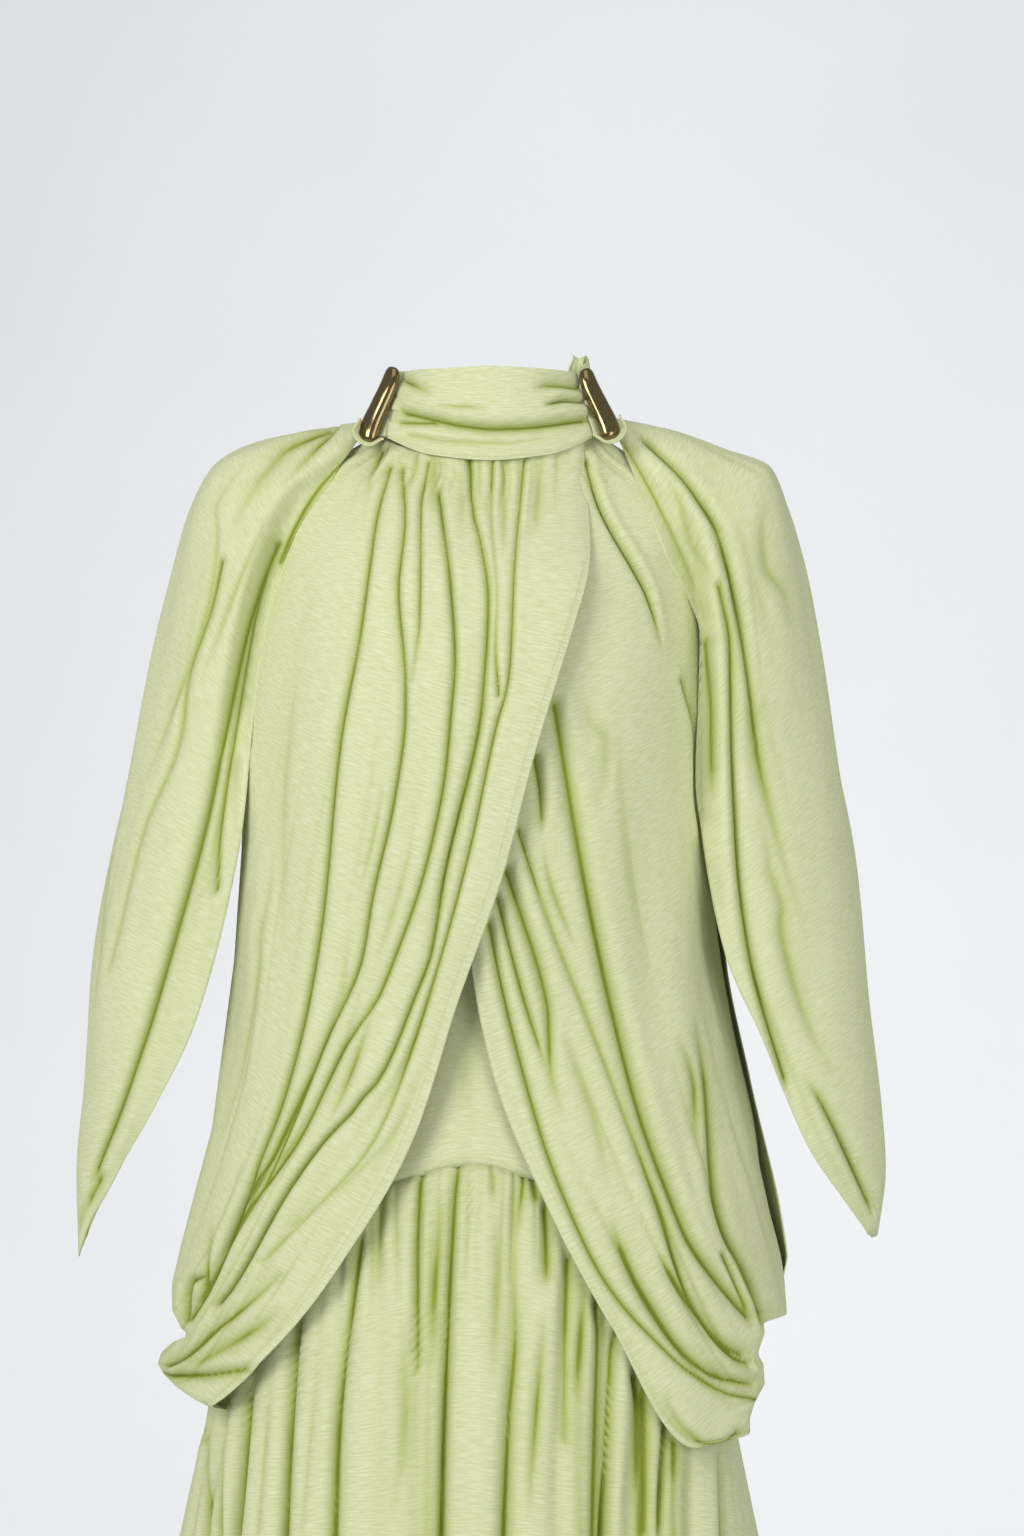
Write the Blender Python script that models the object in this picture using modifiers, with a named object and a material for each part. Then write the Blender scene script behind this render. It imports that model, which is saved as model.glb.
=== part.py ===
"""Draped high-neck maxi dress, worn form left hollow. Each cut and sewn cloth piece is one thin shell.

X runs to the wearer's left, Y to the wearer's back, Z up. The neck seam's centre is the origin.
Tables are written in millimetres and degrees. A drop is a distance below the neck seam.
A turn is an angle round the body: 0 at the front, minus to the wearer's right, plus to the left.
"""
import math

import bmesh
import bpy
import numpy as np
from mathutils import Matrix
from mathutils import Vector

MM = 0.001
CLOTH_THICKNESS = 1.2 * MM
COLLAR_THICKNESS = 1.6 * MM

# A wrapped piece is a table of sections. Each section runs round the body from an "in" end to an "out" end.
# along: place of the section from 0 to 1.  turn: angle of that end.  drop: its height below the neck seam.
# wide and deep: half width and half depth of the oval it lies on.  centre: X of that oval's middle.
# rise: how far the middle of the section stands above the line between its ends.
SECTION = ("along", "in_turn", "in_drop", "in_wide", "in_deep",
           "out_turn", "out_drop", "out_wide", "out_deep", "centre", "rise")

BODICE_FRONT = [
    (0.00, -58, -1, 77.6, 54.8, 58, -1, 77.6, 54.8, 0, -5),
    (0.05, -56, 20, 83, 58.6, 56, 20, 83, 58.6, 0, -7),
    (0.12, -54, 46, 98, 68, 54, 46, 98, 68, 0, -8),
    (0.24, -58, 96, 120, 89, 58, 96, 120, 89, 0, -6),
    (0.34, -76, 142, 132, 99, 76, 142, 132, 99, 0, -3),
    (0.40, -89.88, 165, 136, 103, 89.88, 165, 136, 103, 0, 0),
    (0.52, -89.88, 228, 136, 103, 89.88, 228, 136, 103, -2, 3),
    (0.66, -89.88, 310, 124, 95, 89.88, 310, 124, 95, -5, 12),
    (0.80, -89.88, 392, 120, 90, 89.88, 392, 120, 90, -8, 28),
    (0.91, -89.88, 470, 140, 97, 89.88, 470, 140, 97, -11, 48),
    (1.00, -89.88, 543, 157, 105, 89.88, 543, 157, 105, -13, 69),
]
BODICE_BACK = [
    (0.00, 122, -8, 78, 52, 238, -8, 78, 52, 0, 2),
    (0.12, 124, 40, 108, 66, 236, 40, 108, 66, 0, 2),
    (0.24, 118, 92, 126, 80, 242, 92, 126, 80, 0, 2),
    (0.34, 102, 140, 134, 88, 258, 140, 134, 88, 0, 1),
    (0.40, 90.12, 165, 136, 90, 269.88, 165, 136, 90, 0, 0),
    (0.52, 90.12, 228, 136, 90, 269.88, 228, 136, 90, -2, 0),
    (0.66, 90.12, 310, 124, 82, 269.88, 310, 124, 82, -5, 4),
    (0.80, 90.12, 392, 120, 79, 269.88, 392, 120, 79, -8, 8),
    (0.91, 90.12, 470, 140, 92, 269.88, 470, 140, 92, -11, 13),
    (1.00, 90.12, 543, 157, 104, 269.88, 543, 157, 104, -13, 18),
]
SKIRT_FRONT = [
    (0.00, -89.88, 541, 154, 102, 89.88, 541, 154, 102, -13, 69),
    (0.08, -89.88, 614, 170, 114, 89.88, 614, 170, 114, -13, 60),
    (0.20, -89.88, 719, 192, 129, 89.88, 719, 192, 129, -14, 42),
    (0.40, -89.88, 892, 229, 154, 89.88, 892, 229, 154, -14, 20),
    (0.60, -89.88, 1066, 266, 179, 89.88, 1066, 266, 179, -14, 8),
    (0.80, -89.88, 1239, 301, 202, 89.88, 1239, 301, 202, -14, 2),
    (1.00, -89.88, 1413, 333, 224, 89.88, 1413, 333, 224, -14, 0),
]
SKIRT_BACK = [
    (0.00, 90.12, 541, 154, 101, 269.88, 541, 154, 101, -13, 18),
    (0.08, 90.12, 614, 170, 114, 269.88, 614, 170, 114, -13, 15),
    (0.20, 90.12, 719, 192, 130, 269.88, 719, 192, 130, -14, 10),
    (0.40, 90.12, 892, 229, 155, 269.88, 892, 229, 155, -14, 5),
    (0.60, 90.12, 1066, 266, 179, 269.88, 1066, 266, 179, -14, 2),
    (0.80, 90.12, 1239, 301, 202, 269.88, 1239, 301, 202, -14, 0),
    (1.00, 90.12, 1413, 333, 224, 269.88, 1413, 333, 224, -14, 0),
]
DRAPE_RIGHT = [
    (0.000, 50, -10, 84.0, 61.5, -70, -13, 82.6, 61.2, 0, -17),
    (0.030, 47, 12, 87.5, 64.6, -72, -5, 94, 65, 0, -14),
    (0.065, 36, 46, 114, 85, -74, 10, 124, 76, 0, -10),
    (0.125, 24, 96, 155, 112, -71, 52, 150, 98, 0, -4),
    (0.250, 11, 192, 176, 127, -76, 115, 166, 114, 0, 0),
    (0.375, 2.5, 287, 182, 125, -87, 187, 177, 121, 0, 0),
    (0.500, -7, 372, 184, 120, -95, 259, 181, 120, 0, 0),
    (0.625, -15, 457, 195, 124, -98, 342, 178, 116, 0, 0),
    (0.750, -26, 529, 210, 128, -101, 422, 188, 118, 0, 0),
    (0.875, -41, 597, 220, 128, -108, 502, 206, 120, 0, 0),
    (0.940, -62, 642, 228, 123, -113, 545, 216, 116, 0, 0),
    (1.000, -100, 628, 232, 118, -119, 583, 220, 112, 0, 0),
]
DRAPE_LEFT = [
    (0.000, -24, 3, 80.2, 57.1, 68, -13, 79.9, 57.2, 0, -5),
    (0.030, -20, 24, 85, 61.5, 70, -4, 93, 61, 0, -8),
    (0.065, -15, 52, 108, 76, 73, 14, 118, 70, 0, -6),
    (0.125, -10, 102, 144, 100, 71, 58, 142, 90, 0, -2),
    (0.250, -8, 207, 148, 113, 78, 140, 148, 103, 0, 0),
    (0.375, -6, 307, 152, 110, 89, 219, 148, 110, 0, 0),
    (0.500, 0, 405, 168, 106, 95, 298, 150, 110, 0, 0),
    (0.625, 11.5, 498, 186, 113, 97, 378, 163, 108, 0, 0),
    (0.750, 24, 580, 200, 118, 100, 455, 178, 110, 0, 0),
    (0.875, 42, 662, 206, 118, 107, 535, 196, 112, 0, 0),
    (0.940, 61, 656, 206, 116, 112, 562, 203, 110, 0, 0),
    (1.000, 98, 615, 205, 112, 118, 585, 206, 106, 0, 0),
]
DRAPE_BACK = [
    (0.00, 108, -18.1, 83.5, 57.3, 252, -18.1, 83.5, 57.3, 0, 0),
    (0.02, 107, -12, 85.5, 59, 253, -12, 85.5, 59, 0, 0),
    (0.06, 112, 12, 116, 67, 248, 12, 116, 67, 0, -2),
    (0.11, 116, 54, 144, 82, 244, 54, 144, 82, 0, 2),
    (0.22, 113, 125, 160, 98, 247, 125, 160, 98, -4, 2),
    (0.38, 101, 225, 171, 104, 259, 225, 171, 104, -14, 2),
    (0.55, 95, 330, 173, 106, 265, 330, 173, 106, -12, 0),
    (0.70, 94, 425, 189, 112, 266, 425, 189, 112, -10, -3),
    (0.85, 93, 520, 209, 124, 267, 520, 209, 124, -9, -6),
    (1.00, 93, 612, 225, 132, 267, 612, 225, 132, -8, -10),
]
COLLAR_FRONT = [
    (0.00, -52, -9, 88, 66, -61, -54, 66, 60, 0, 0),
    (0.25, -26, 4, 88, 66, -30, -54, 66, 60, 0, 0),
    (0.50, 0, 8, 88, 66, 0, -55, 66, 60, 0, 0),
    (0.75, 26, 4, 88, 66, 30, -54, 66, 60, 0, 0),
    (1.00, 52, -9, 88, 66, 61, -53, 66, 60, 0, 0),
]
COLLAR_BACK = [
    (0.00, 52.6, -9.4, 88, 66, 61.6, -53, 66, 60, 0, 0),
    (0.16, 90, -16, 86, 66, 88, -63, 66, 60, 0, 0),
    (0.30, 122, -18, 86, 62, 118, -59, 66, 58, 0, 0),
    (0.50, 180, -18, 86, 60, 180, -58, 66, 56, 0, 0),
    (0.70, 238, -18, 86, 62, 242, -57, 66, 58, 0, 0),
    (0.84, 270, -16, 86, 66, 272, -56, 66, 60, 0, 0),
    (1.00, 307.4, -9.4, 88, 66, 298.4, -54, 66, 60, 0, 0),
]

# A sleeve is open towards the body. Each section runs from its front edge over a crest to its back edge.
REACH = ("along", "front_x", "front_y", "front_drop", "crest_x", "crest_y", "crest_drop",
         "back_x", "back_y", "back_drop")
SLEEVE_RIGHT = [
    (0.00, -81.2, -22, -20, -85.9, 2, -22, -77.4, 28, -22),
    (0.10, -105, -48, 20, -122, 4, -16, -104, 50, -4),
    (0.20, -126, -66, 50, -160, 5, -8, -128, 66, 30),
    (0.28, -138, -76, 77, -186, 5, 5, -146, 74, 60),
    (0.36, -147, -79, 108, -204, 5, 36, -155, 78, 95),
    (0.46, -155, -76, 155, -216, 5, 80, -162, 78, 145),
    (0.56, -160, -73, 205, -229, 5, 138, -168, 76, 200),
    (0.66, -164, -70, 250, -242, 5, 200, -174, 72, 250),
    (0.76, -176, -65, 312, -257, 5, 270, -186, 66, 310),
    (0.86, -197, -58, 385, -270, 3, 350, -206, 54, 380),
    (0.93, -224, -48, 440, -276, 2, 430, -230, 42, 436),
    (0.97, -250, -30, 485, -281, 1, 490, -252, 28, 485),
    (1.00, -272, -12, 525, -280, 0, 545, -272, 12, 525),
]
SLEEVE_LEFT = [
    (0.00, 81.2, -22, -20, 85.9, 2, -24, 77.4, 28, -23),
    (0.10, 103, -46, 34, 122, 4, -17, 104, 50, 0),
    (0.20, 119, -63, 74, 160, 5, -4, 126, 66, 36),
    (0.28, 134, -72, 101, 190, 5, 7, 142, 72, 72),
    (0.36, 141, -78, 124, 203, 5, 36, 150, 76, 104),
    (0.46, 140, -76, 168, 214, 5, 76, 156, 76, 150),
    (0.56, 138, -75, 218, 224, 5, 130, 160, 76, 205),
    (0.66, 143, -72, 262, 235, 5, 196, 164, 74, 255),
    (0.76, 156, -66, 333, 248, 5, 272, 172, 66, 318),
    (0.86, 184, -56, 398, 256, 3, 358, 190, 52, 388),
    (0.93, 214, -44, 468, 266, 2, 440, 216, 40, 452),
    (0.97, 240, -28, 506, 269, 1, 486, 240, 26, 500),
    (1.00, 259, -10, 532, 264, 0, 530, 258, 10, 532),
]

# A fold is one trough that runs along the piece. Its row gives, at five stations from 0 to 1, its place across
# the piece (0 at the in end, 1 at the out end) and its depth, and then its half width at both ends.
FOLD = ("place", "depth", "half_width")
STATIONS = (0.0, 0.25, 0.5, 0.75, 1.0)
DRAPE_RIGHT_FOLDS = [
    ((0.29, 0.095, 0.055, 0.160, 0.12), (1.6, 3.0, 2.4, 2.0, 2.0), (4, 7)),
    ((0.41, 0.120, 0.080, 0.180, 0.15), (1.4, 2.0, 0.6, 0.4, 1.0), (4, 7)),
    ((0.49, 0.150, 0.105, 0.205, 0.19), (1.6, 3.0, 2.6, 1.0, 1.0), (4, 7)),
    ((0.56, 0.190, 0.145, 0.245, 0.24), (1.8, 4.0, 4.0, 7.0, 6.0), (4, 8)),
    ((0.64, 0.290, 0.200, 0.268, 0.28), (1.4, 1.5, 0.5, 0.5, 1.0), (4, 7)),
    ((0.73, 0.320, 0.245, 0.290, 0.32), (1.8, 4.0, 4.0, 3.0, 3.0), (4, 8)),
    ((0.79, 0.390, 0.290, 0.320, 0.36), (0.8, 1.0, 3.0, 4.0, 2.0), (4, 7)),
    ((0.85, 0.460, 0.370, 0.350, 0.40), (1.6, 4.0, 5.0, 8.0, 7.0), (4, 9)),
    ((0.91, 0.640, 0.580, 0.560, 0.58), (0.6, 1.5, 2.5, 4.0, 4.0), (5, 12)),
    ((0.96, 0.830, 0.790, 0.780, 0.80), (0.6, 1.5, 2.5, 4.0, 4.0), (5, 12)),
]
DRAPE_LEFT_FOLDS = [
    ((0.12, 0.050, 0.065, 0.095, 0.33), (0.4, 1.5, 4.0, 5.0, 5.0), (4, 7)),
    ((0.22, 0.085, 0.110, 0.135, 0.37), (0.8, 1.5, 3.0, 1.0, 1.0), (4, 7)),
    ((0.32, 0.110, 0.150, 0.175, 0.40), (0.8, 2.0, 4.0, 1.5, 1.0), (4, 7)),
    ((0.45, 0.150, 0.245, 0.215, 0.43), (0.8, 2.0, 4.0, 3.0, 2.0), (4, 7)),
    ((0.55, 0.200, 0.285, 0.240, 0.47), (0.8, 2.5, 1.0, 5.0, 5.0), (4, 8)),
    ((0.65, 0.275, 0.325, 0.325, 0.52), (1.0, 4.0, 8.0, 8.0, 6.0), (4, 9)),
    ((0.80, 0.540, 0.490, 0.455, 0.62), (1.0, 1.5, 3.0, 8.0, 6.0), (5, 10)),
    ((0.92, 0.780, 0.760, 0.740, 0.80), (1.0, 1.5, 2.0, 3.0, 3.0), (5, 12)),
]
DRAPE_BACK_FOLDS = [
    ((0.10, 0.10, 0.10, 0.10, 0.10), (0.4, 2.0, 3.0, 3.0, 3.0), (6, 12)),
    ((0.21, 0.22, 0.20, 0.20, 0.21), (1.0, 4.0, 6.0, 8.0, 9.0), (6, 14)),
    ((0.32, 0.31, 0.31, 0.30, 0.29), (1.2, 3.0, 4.0, 6.0, 8.0), (6, 14)),
    ((0.43, 0.43, 0.42, 0.42, 0.43), (1.2, 4.0, 6.0, 8.0, 10.0), (6, 14)),
    ((0.56, 0.55, 0.56, 0.57, 0.56), (1.2, 3.0, 4.0, 6.0, 8.0), (6, 14)),
    ((0.67, 0.68, 0.69, 0.69, 0.70), (1.2, 4.0, 6.0, 8.0, 10.0), (6, 14)),
    ((0.79, 0.79, 0.80, 0.81, 0.80), (1.0, 3.0, 5.0, 7.0, 8.0), (6, 14)),
    ((0.90, 0.90, 0.90, 0.90, 0.90), (0.4, 2.0, 3.0, 3.0, 3.0), (6, 12)),
]
SLEEVE_RIGHT_FOLDS = [
    ((0.03, 0.035, 0.070, 0.120, 0.15), (0.5, 3.5, 8.0, 8.0, 3.0), (5, 9)),
    ((0.45, 0.200, 0.180, 0.280, 0.34), (1.0, 3.5, 5.0, 4.0, 1.0), (6, 10)),
    ((0.56, 0.400, 0.360, 0.420, 0.46), (0.5, 2.0, 3.0, 3.0, 1.0), (6, 12)),
    ((0.66, 0.580, 0.580, 0.580, 0.58), (0.5, 2.0, 4.0, 4.0, 1.0), (6, 12)),
    ((0.76, 0.740, 0.760, 0.760, 0.72), (1.0, 3.0, 5.0, 5.0, 2.0), (6, 12)),
    ((0.90, 0.900, 0.910, 0.900, 0.86), (0.5, 3.0, 5.0, 5.0, 2.0), (6, 10)),
]
SLEEVE_LEFT_FOLDS = [
    ((0.10, 0.040, 0.035, 0.030, 0.04), (1.0, 2.5, 0.5, 0.5, 0.5), (5, 7)),
    ((0.17, 0.095, 0.100, 0.065, 0.10), (0.5, 1.5, 7.0, 8.0, 3.0), (5, 9)),
    ((0.25, 0.165, 0.145, 0.180, 0.20), (2.0, 6.0, 5.0, 3.0, 2.0), (6, 10)),
    ((0.50, 0.360, 0.340, 0.360, 0.38), (0.5, 2.0, 3.0, 3.0, 1.0), (6, 12)),
    ((0.64, 0.580, 0.580, 0.580, 0.56), (0.5, 2.0, 4.0, 4.0, 1.0), (6, 12)),
    ((0.76, 0.750, 0.760, 0.750, 0.72), (1.0, 3.0, 5.0, 5.0, 2.0), (6, 12)),
    ((0.90, 0.900, 0.910, 0.900, 0.86), (0.5, 3.0, 5.0, 5.0, 2.0), (6, 10)),
]
SKIRT_FRONT_FOLDS = [
    ((0.060, 0.055, 0.050, 0.050, 0.050), (1.6, 7.0, 11.5, 18.0, 24.0), (4, 24)),
    ((0.125, 0.120, 0.115, 0.115, 0.110), (1.8, 6.0, 12.0, 15.0, 20.0), (4, 23)),
    ((0.190, 0.180, 0.175, 0.170, 0.170), (2.0, 10.6, 18.2, 28.5, 38.0), (4, 28)),
    ((0.255, 0.240, 0.235, 0.230, 0.235), (1.8, 6.2, 10.6, 16.5, 22.0), (4, 23)),
    ((0.315, 0.305, 0.300, 0.300, 0.295), (2.0, 11.2, 19.2, 30.0, 40.0), (4, 29)),
    ((0.372, 0.366, 0.362, 0.360, 0.365), (1.8, 7.3, 12.5, 19.5, 26.0), (4, 24)),
    ((0.432, 0.432, 0.434, 0.436, 0.432), (2.2, 11.8, 20.2, 31.5, 42.0), (4, 29)),
    ((0.492, 0.498, 0.500, 0.500, 0.500), (1.8, 6.0, 10.0, 15.0, 20.0), (4, 23)),
    ((0.552, 0.558, 0.562, 0.566, 0.562), (2.0, 10.1, 17.3, 27.0, 36.0), (4, 27)),
    ((0.612, 0.620, 0.628, 0.632, 0.630), (1.8, 6.2, 10.6, 16.5, 22.0), (4, 23)),
    ((0.676, 0.690, 0.698, 0.700, 0.700), (2.0, 11.2, 19.2, 30.0, 40.0), (4, 29)),
    ((0.742, 0.758, 0.764, 0.766, 0.768), (1.8, 7.8, 13.4, 21.0, 28.0), (4, 25)),
    ((0.808, 0.822, 0.828, 0.832, 0.830), (2.0, 9.0, 15.4, 24.0, 32.0), (4, 26)),
    ((0.872, 0.884, 0.888, 0.890, 0.892), (1.8, 6.7, 11.5, 18.0, 24.0), (4, 24)),
    ((0.938, 0.944, 0.948, 0.950, 0.950), (1.6, 7.3, 12.5, 19.5, 26.0), (4, 24)),
]
SKIRT_BACK_FOLDS = [
    ((0.062, 0.060, 0.055, 0.055, 0.055), (1.6, 6.7, 11.5, 18.0, 24.0), (4, 24)),
    ((0.128, 0.122, 0.120, 0.118, 0.118), (1.8, 9.5, 16.3, 25.5, 34.0), (4, 27)),
    ((0.195, 0.190, 0.184, 0.184, 0.186), (2.0, 6.2, 11.0, 16.5, 22.0), (4, 23)),
    ((0.262, 0.256, 0.252, 0.250, 0.248), (1.8, 11.2, 19.2, 30.0, 40.0), (4, 29)),
    ((0.325, 0.322, 0.318, 0.316, 0.314), (2.0, 6.0, 10.0, 15.0, 20.0), (4, 23)),
    ((0.384, 0.380, 0.378, 0.376, 0.378), (1.8, 10.1, 17.3, 27.0, 36.0), (4, 27)),
    ((0.442, 0.440, 0.440, 0.440, 0.438), (2.2, 6.7, 11.5, 18.0, 24.0), (4, 24)),
    ((0.502, 0.502, 0.502, 0.504, 0.504), (1.8, 11.8, 20.2, 31.5, 42.0), (4, 29)),
    ((0.560, 0.562, 0.564, 0.566, 0.568), (2.0, 7.3, 12.5, 19.5, 26.0), (4, 24)),
    ((0.620, 0.624, 0.630, 0.632, 0.630), (1.8, 9.5, 16.3, 25.5, 34.0), (4, 27)),
    ((0.684, 0.690, 0.694, 0.698, 0.698), (2.0, 7.0, 11.0, 16.5, 22.0), (4, 23)),
    ((0.748, 0.754, 0.760, 0.762, 0.764), (1.8, 11.2, 19.2, 30.0, 40.0), (4, 29)),
    ((0.812, 0.820, 0.824, 0.826, 0.826), (2.0, 6.7, 11.5, 18.0, 24.0), (4, 24)),
    ((0.876, 0.884, 0.886, 0.886, 0.888), (1.8, 9.0, 15.4, 24.0, 32.0), (4, 26)),
    ((0.940, 0.944, 0.946, 0.946, 0.948), (1.6, 6.7, 11.5, 18.0, 24.0), (4, 24)),
]
COLLAR_FRONT_FOLDS = [
    ((0.20, 0.16, 0.16, 0.15, 0.22), (1.0, 1.2, 1.4, 1.2, 1.0), (3, 3)),
    ((0.36, 0.40, 0.42, 0.44, 0.42), (1.8, 3.0, 3.4, 3.4, 2.0), (3, 3)),
    ((0.52, 0.54, 0.58, 0.64, 0.60), (1.6, 2.4, 1.6, 3.0, 1.8), (3, 3)),
    ((0.68, 0.72, 0.74, 0.76, 0.74), (1.6, 2.0, 2.6, 1.8, 1.6), (3, 3)),
    ((0.84, 0.88, 0.88, 0.88, 0.86), (1.2, 1.6, 1.4, 1.6, 1.2), (3, 3)),
]
COLLAR_BACK_FOLDS = [
    ((0.30, 0.28, 0.30, 0.28, 0.30), (1.0, 2.0, 2.2, 2.0, 1.0), (3, 3)),
    ((0.62, 0.58, 0.56, 0.60, 0.60), (1.4, 2.4, 2.8, 2.4, 1.2), (3, 3)),
    ((0.86, 0.84, 0.86, 0.85, 0.84), (1.0, 1.6, 1.4, 1.6, 1.0), (3, 3)),
]

# Name, sections, folds, columns between two folds, rows along, side of the normal that faces out, thickness.
WRAPPED = [
    ("bodice_front", BODICE_FRONT, [], 18, 11, 1, CLOTH_THICKNESS),
    ("bodice_back", BODICE_BACK, [], 14, 11, 1, CLOTH_THICKNESS),
    ("drape_left", DRAPE_LEFT, DRAPE_LEFT_FOLDS, 3, 17, 1, CLOTH_THICKNESS),
    ("drape_right", DRAPE_RIGHT, DRAPE_RIGHT_FOLDS, 3, 17, -1, CLOTH_THICKNESS),
    ("drape_back", DRAPE_BACK, DRAPE_BACK_FOLDS, 3, 11, 1, CLOTH_THICKNESS),
    ("skirt_front", SKIRT_FRONT, SKIRT_FRONT_FOLDS, 4, 8, 1, CLOTH_THICKNESS),
    ("skirt_back", SKIRT_BACK, SKIRT_BACK_FOLDS, 4, 8, 1, CLOTH_THICKNESS),
    ("collar_front", COLLAR_FRONT, COLLAR_FRONT_FOLDS, 2, 20, 1, COLLAR_THICKNESS),
    ("collar_back", COLLAR_BACK, COLLAR_BACK_FOLDS, 2, 22, 1, COLLAR_THICKNESS),
]
SLEEVES = [
    ("sleeve_right", SLEEVE_RIGHT, SLEEVE_RIGHT_FOLDS, 3, 16, -1, CLOTH_THICKNESS),
    ("sleeve_left", SLEEVE_LEFT, SLEEVE_LEFT_FOLDS, 3, 16, 1, CLOTH_THICKNESS),
]

# Each bar stands at a side of the collar. Ends are middle points of the bar's round ends, in millimetres.
BAR = ("name", "foot_x", "foot_y", "foot_drop", "head_x", "head_y", "head_drop", "face_turn")
BARS = [
    ("bar_right", -78.1, -41.3, -2, -63.1, -30.3, -58, -56),
    ("bar_left", 77.7, -41.1, -4, 62.7, -30.1, -57, 56),
]
BAR_WIDTH = 17 * MM
BAR_THICKNESS = 6.5 * MM
BAR_WAIST = 0.16
RISE_POWER = 1.6


def through(stations, values, place):
    """Smooth curve through a column of a table."""
    stations = np.asarray(stations, float)
    values = np.asarray(values, float)
    rates = np.diff(values) / np.diff(stations)
    turning = rates[:-1] * rates[1:] <= 0
    middle = np.where(turning, 0.0, 2 * rates[:-1] * rates[1:] / np.where(turning, 1.0, rates[:-1] + rates[1:]))
    slopes = np.concatenate([rates[:1], middle, rates[-1:]])
    left = np.clip(np.searchsorted(stations, place, side="right") - 1, 0, len(stations) - 2)
    gap = stations[left + 1] - stations[left]
    t = (place - stations[left]) / gap
    start = (2 * t ** 3 - 3 * t ** 2 + 1) * values[left] + (t ** 3 - 2 * t ** 2 + t) * gap * slopes[left]
    end = (3 * t ** 2 - 2 * t ** 3) * values[left + 1] + (t ** 3 - t ** 2) * gap * slopes[left + 1]
    return start + end


def wrapped(rows, across, along):
    """Points of a piece that lies round the body, without its folds. In metres."""
    table = np.asarray(rows, float)

    def column(name):
        return through(table[:, 0], table[:, SECTION.index(name)], along)

    def between(name):
        return (1 - across) * column("in_" + name) + across * column("out_" + name)

    turn = np.radians(between("turn"))
    hump = 1 - np.abs(2 * across - 1) ** RISE_POWER
    x = column("centre") + between("wide") * np.sin(turn)
    y = -between("deep") * np.cos(turn)
    z = column("rise") * hump - between("drop")
    return np.stack([x, y, z], axis=-1) * MM


def sleeved(rows, across, along):
    """Points of a sleeve, without its folds. In metres."""
    table = np.asarray(rows, float)
    column = {name: through(table[:, 0], table[:, k], along) for k, name in enumerate(REACH) if k}
    front = np.stack([column["front_x"], column["front_y"], -column["front_drop"]], axis=-1)
    crest = np.stack([column["crest_x"], column["crest_y"], -column["crest_drop"]], axis=-1)
    back = np.stack([column["back_x"], column["back_y"], -column["back_drop"]], axis=-1)
    first = across < 0.5
    edge = np.where(first[..., None], front, back)
    turn = np.where(first, across, 1 - across)[..., None] * math.pi
    corner = np.stack([edge[..., 0], crest[..., 1], edge[..., 2]], axis=-1)
    return (corner + (edge - corner) * np.cos(turn) + (crest - corner) * np.sin(turn)) * MM


def fold_places(folds, along):
    """Where every fold lies across the piece, with the two edges added."""
    places = [np.zeros_like(along)]
    for place, depth, half_width in folds:
        places.append(through(STATIONS, place, along))
    places.append(np.ones_like(along))
    return places


def shell_points(shape, rows, folds, u, v, side):
    """Points of a piece with its folds pressed in, for grid places u (across) and v (along) from 0 to 1."""
    places = fold_places(folds, v)
    step = u * (len(places) - 1)
    left = np.clip(np.floor(step).astype(int), 0, len(places) - 2)
    part = step - left
    stack = np.stack(places)
    pick = np.arange(len(u))
    across = stack[left, pick] * (1 - part) + stack[left + 1, pick] * part
    probe = np.linspace(0, 1, 33)
    lengths = []
    for level in np.linspace(0, 1, 33):
        line = shape(rows, probe, np.full(33, level))
        lengths.append(np.linalg.norm(np.diff(line, axis=0), axis=1).sum())
    length = np.interp(v, probe, lengths)
    small = 1e-3
    left_side = shape(rows, np.clip(across - small, 0, 1), v)
    right_side = shape(rows, np.clip(across + small, 0, 1), v)
    above = shape(rows, across, np.clip(v - small, 0, 1))
    below = shape(rows, across, np.clip(v + small, 0, 1))
    normal = np.cross(right_side - left_side, above - below)
    normal = side * normal / np.linalg.norm(normal, axis=1, keepdims=True)
    pressed = np.zeros_like(u)
    for place, depth, half_width in folds:
        off = np.abs(across - through(STATIONS, place, v)) * length
        reach = (half_width[0] * (1 - v) + half_width[1] * v) * MM
        pressed = pressed + through(STATIONS, depth, v) * MM / (1 + (off / reach) ** 2) ** 1.5
    return shape(rows, across, v) - normal * pressed[:, None]


def clear_scene():
    """Empty the file's start scene."""
    for old in list(bpy.data.objects):
        bpy.data.objects.remove(old, do_unlink=True)


def surface(name, colour, metallic, roughness):
    """One plain material for one piece."""
    material = bpy.data.materials.new(name)
    material.use_nodes = True
    shader = material.node_tree.nodes["Principled BSDF"]
    shader.inputs["Base Color"].default_value = colour
    shader.inputs["Metallic"].default_value = metallic
    shader.inputs["Roughness"].default_value = roughness
    return material


def keep(name, mesh_data, collection, material):
    """Make a named object of a finished mesh."""
    mesh = bpy.data.meshes.new(name)
    mesh_data.to_mesh(mesh)
    mesh_data.free()
    piece = bpy.data.objects.new(name, mesh)
    collection.objects.link(piece)
    mesh.materials.append(material)
    for face in mesh.polygons:
        face.use_smooth = True
    return piece


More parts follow.
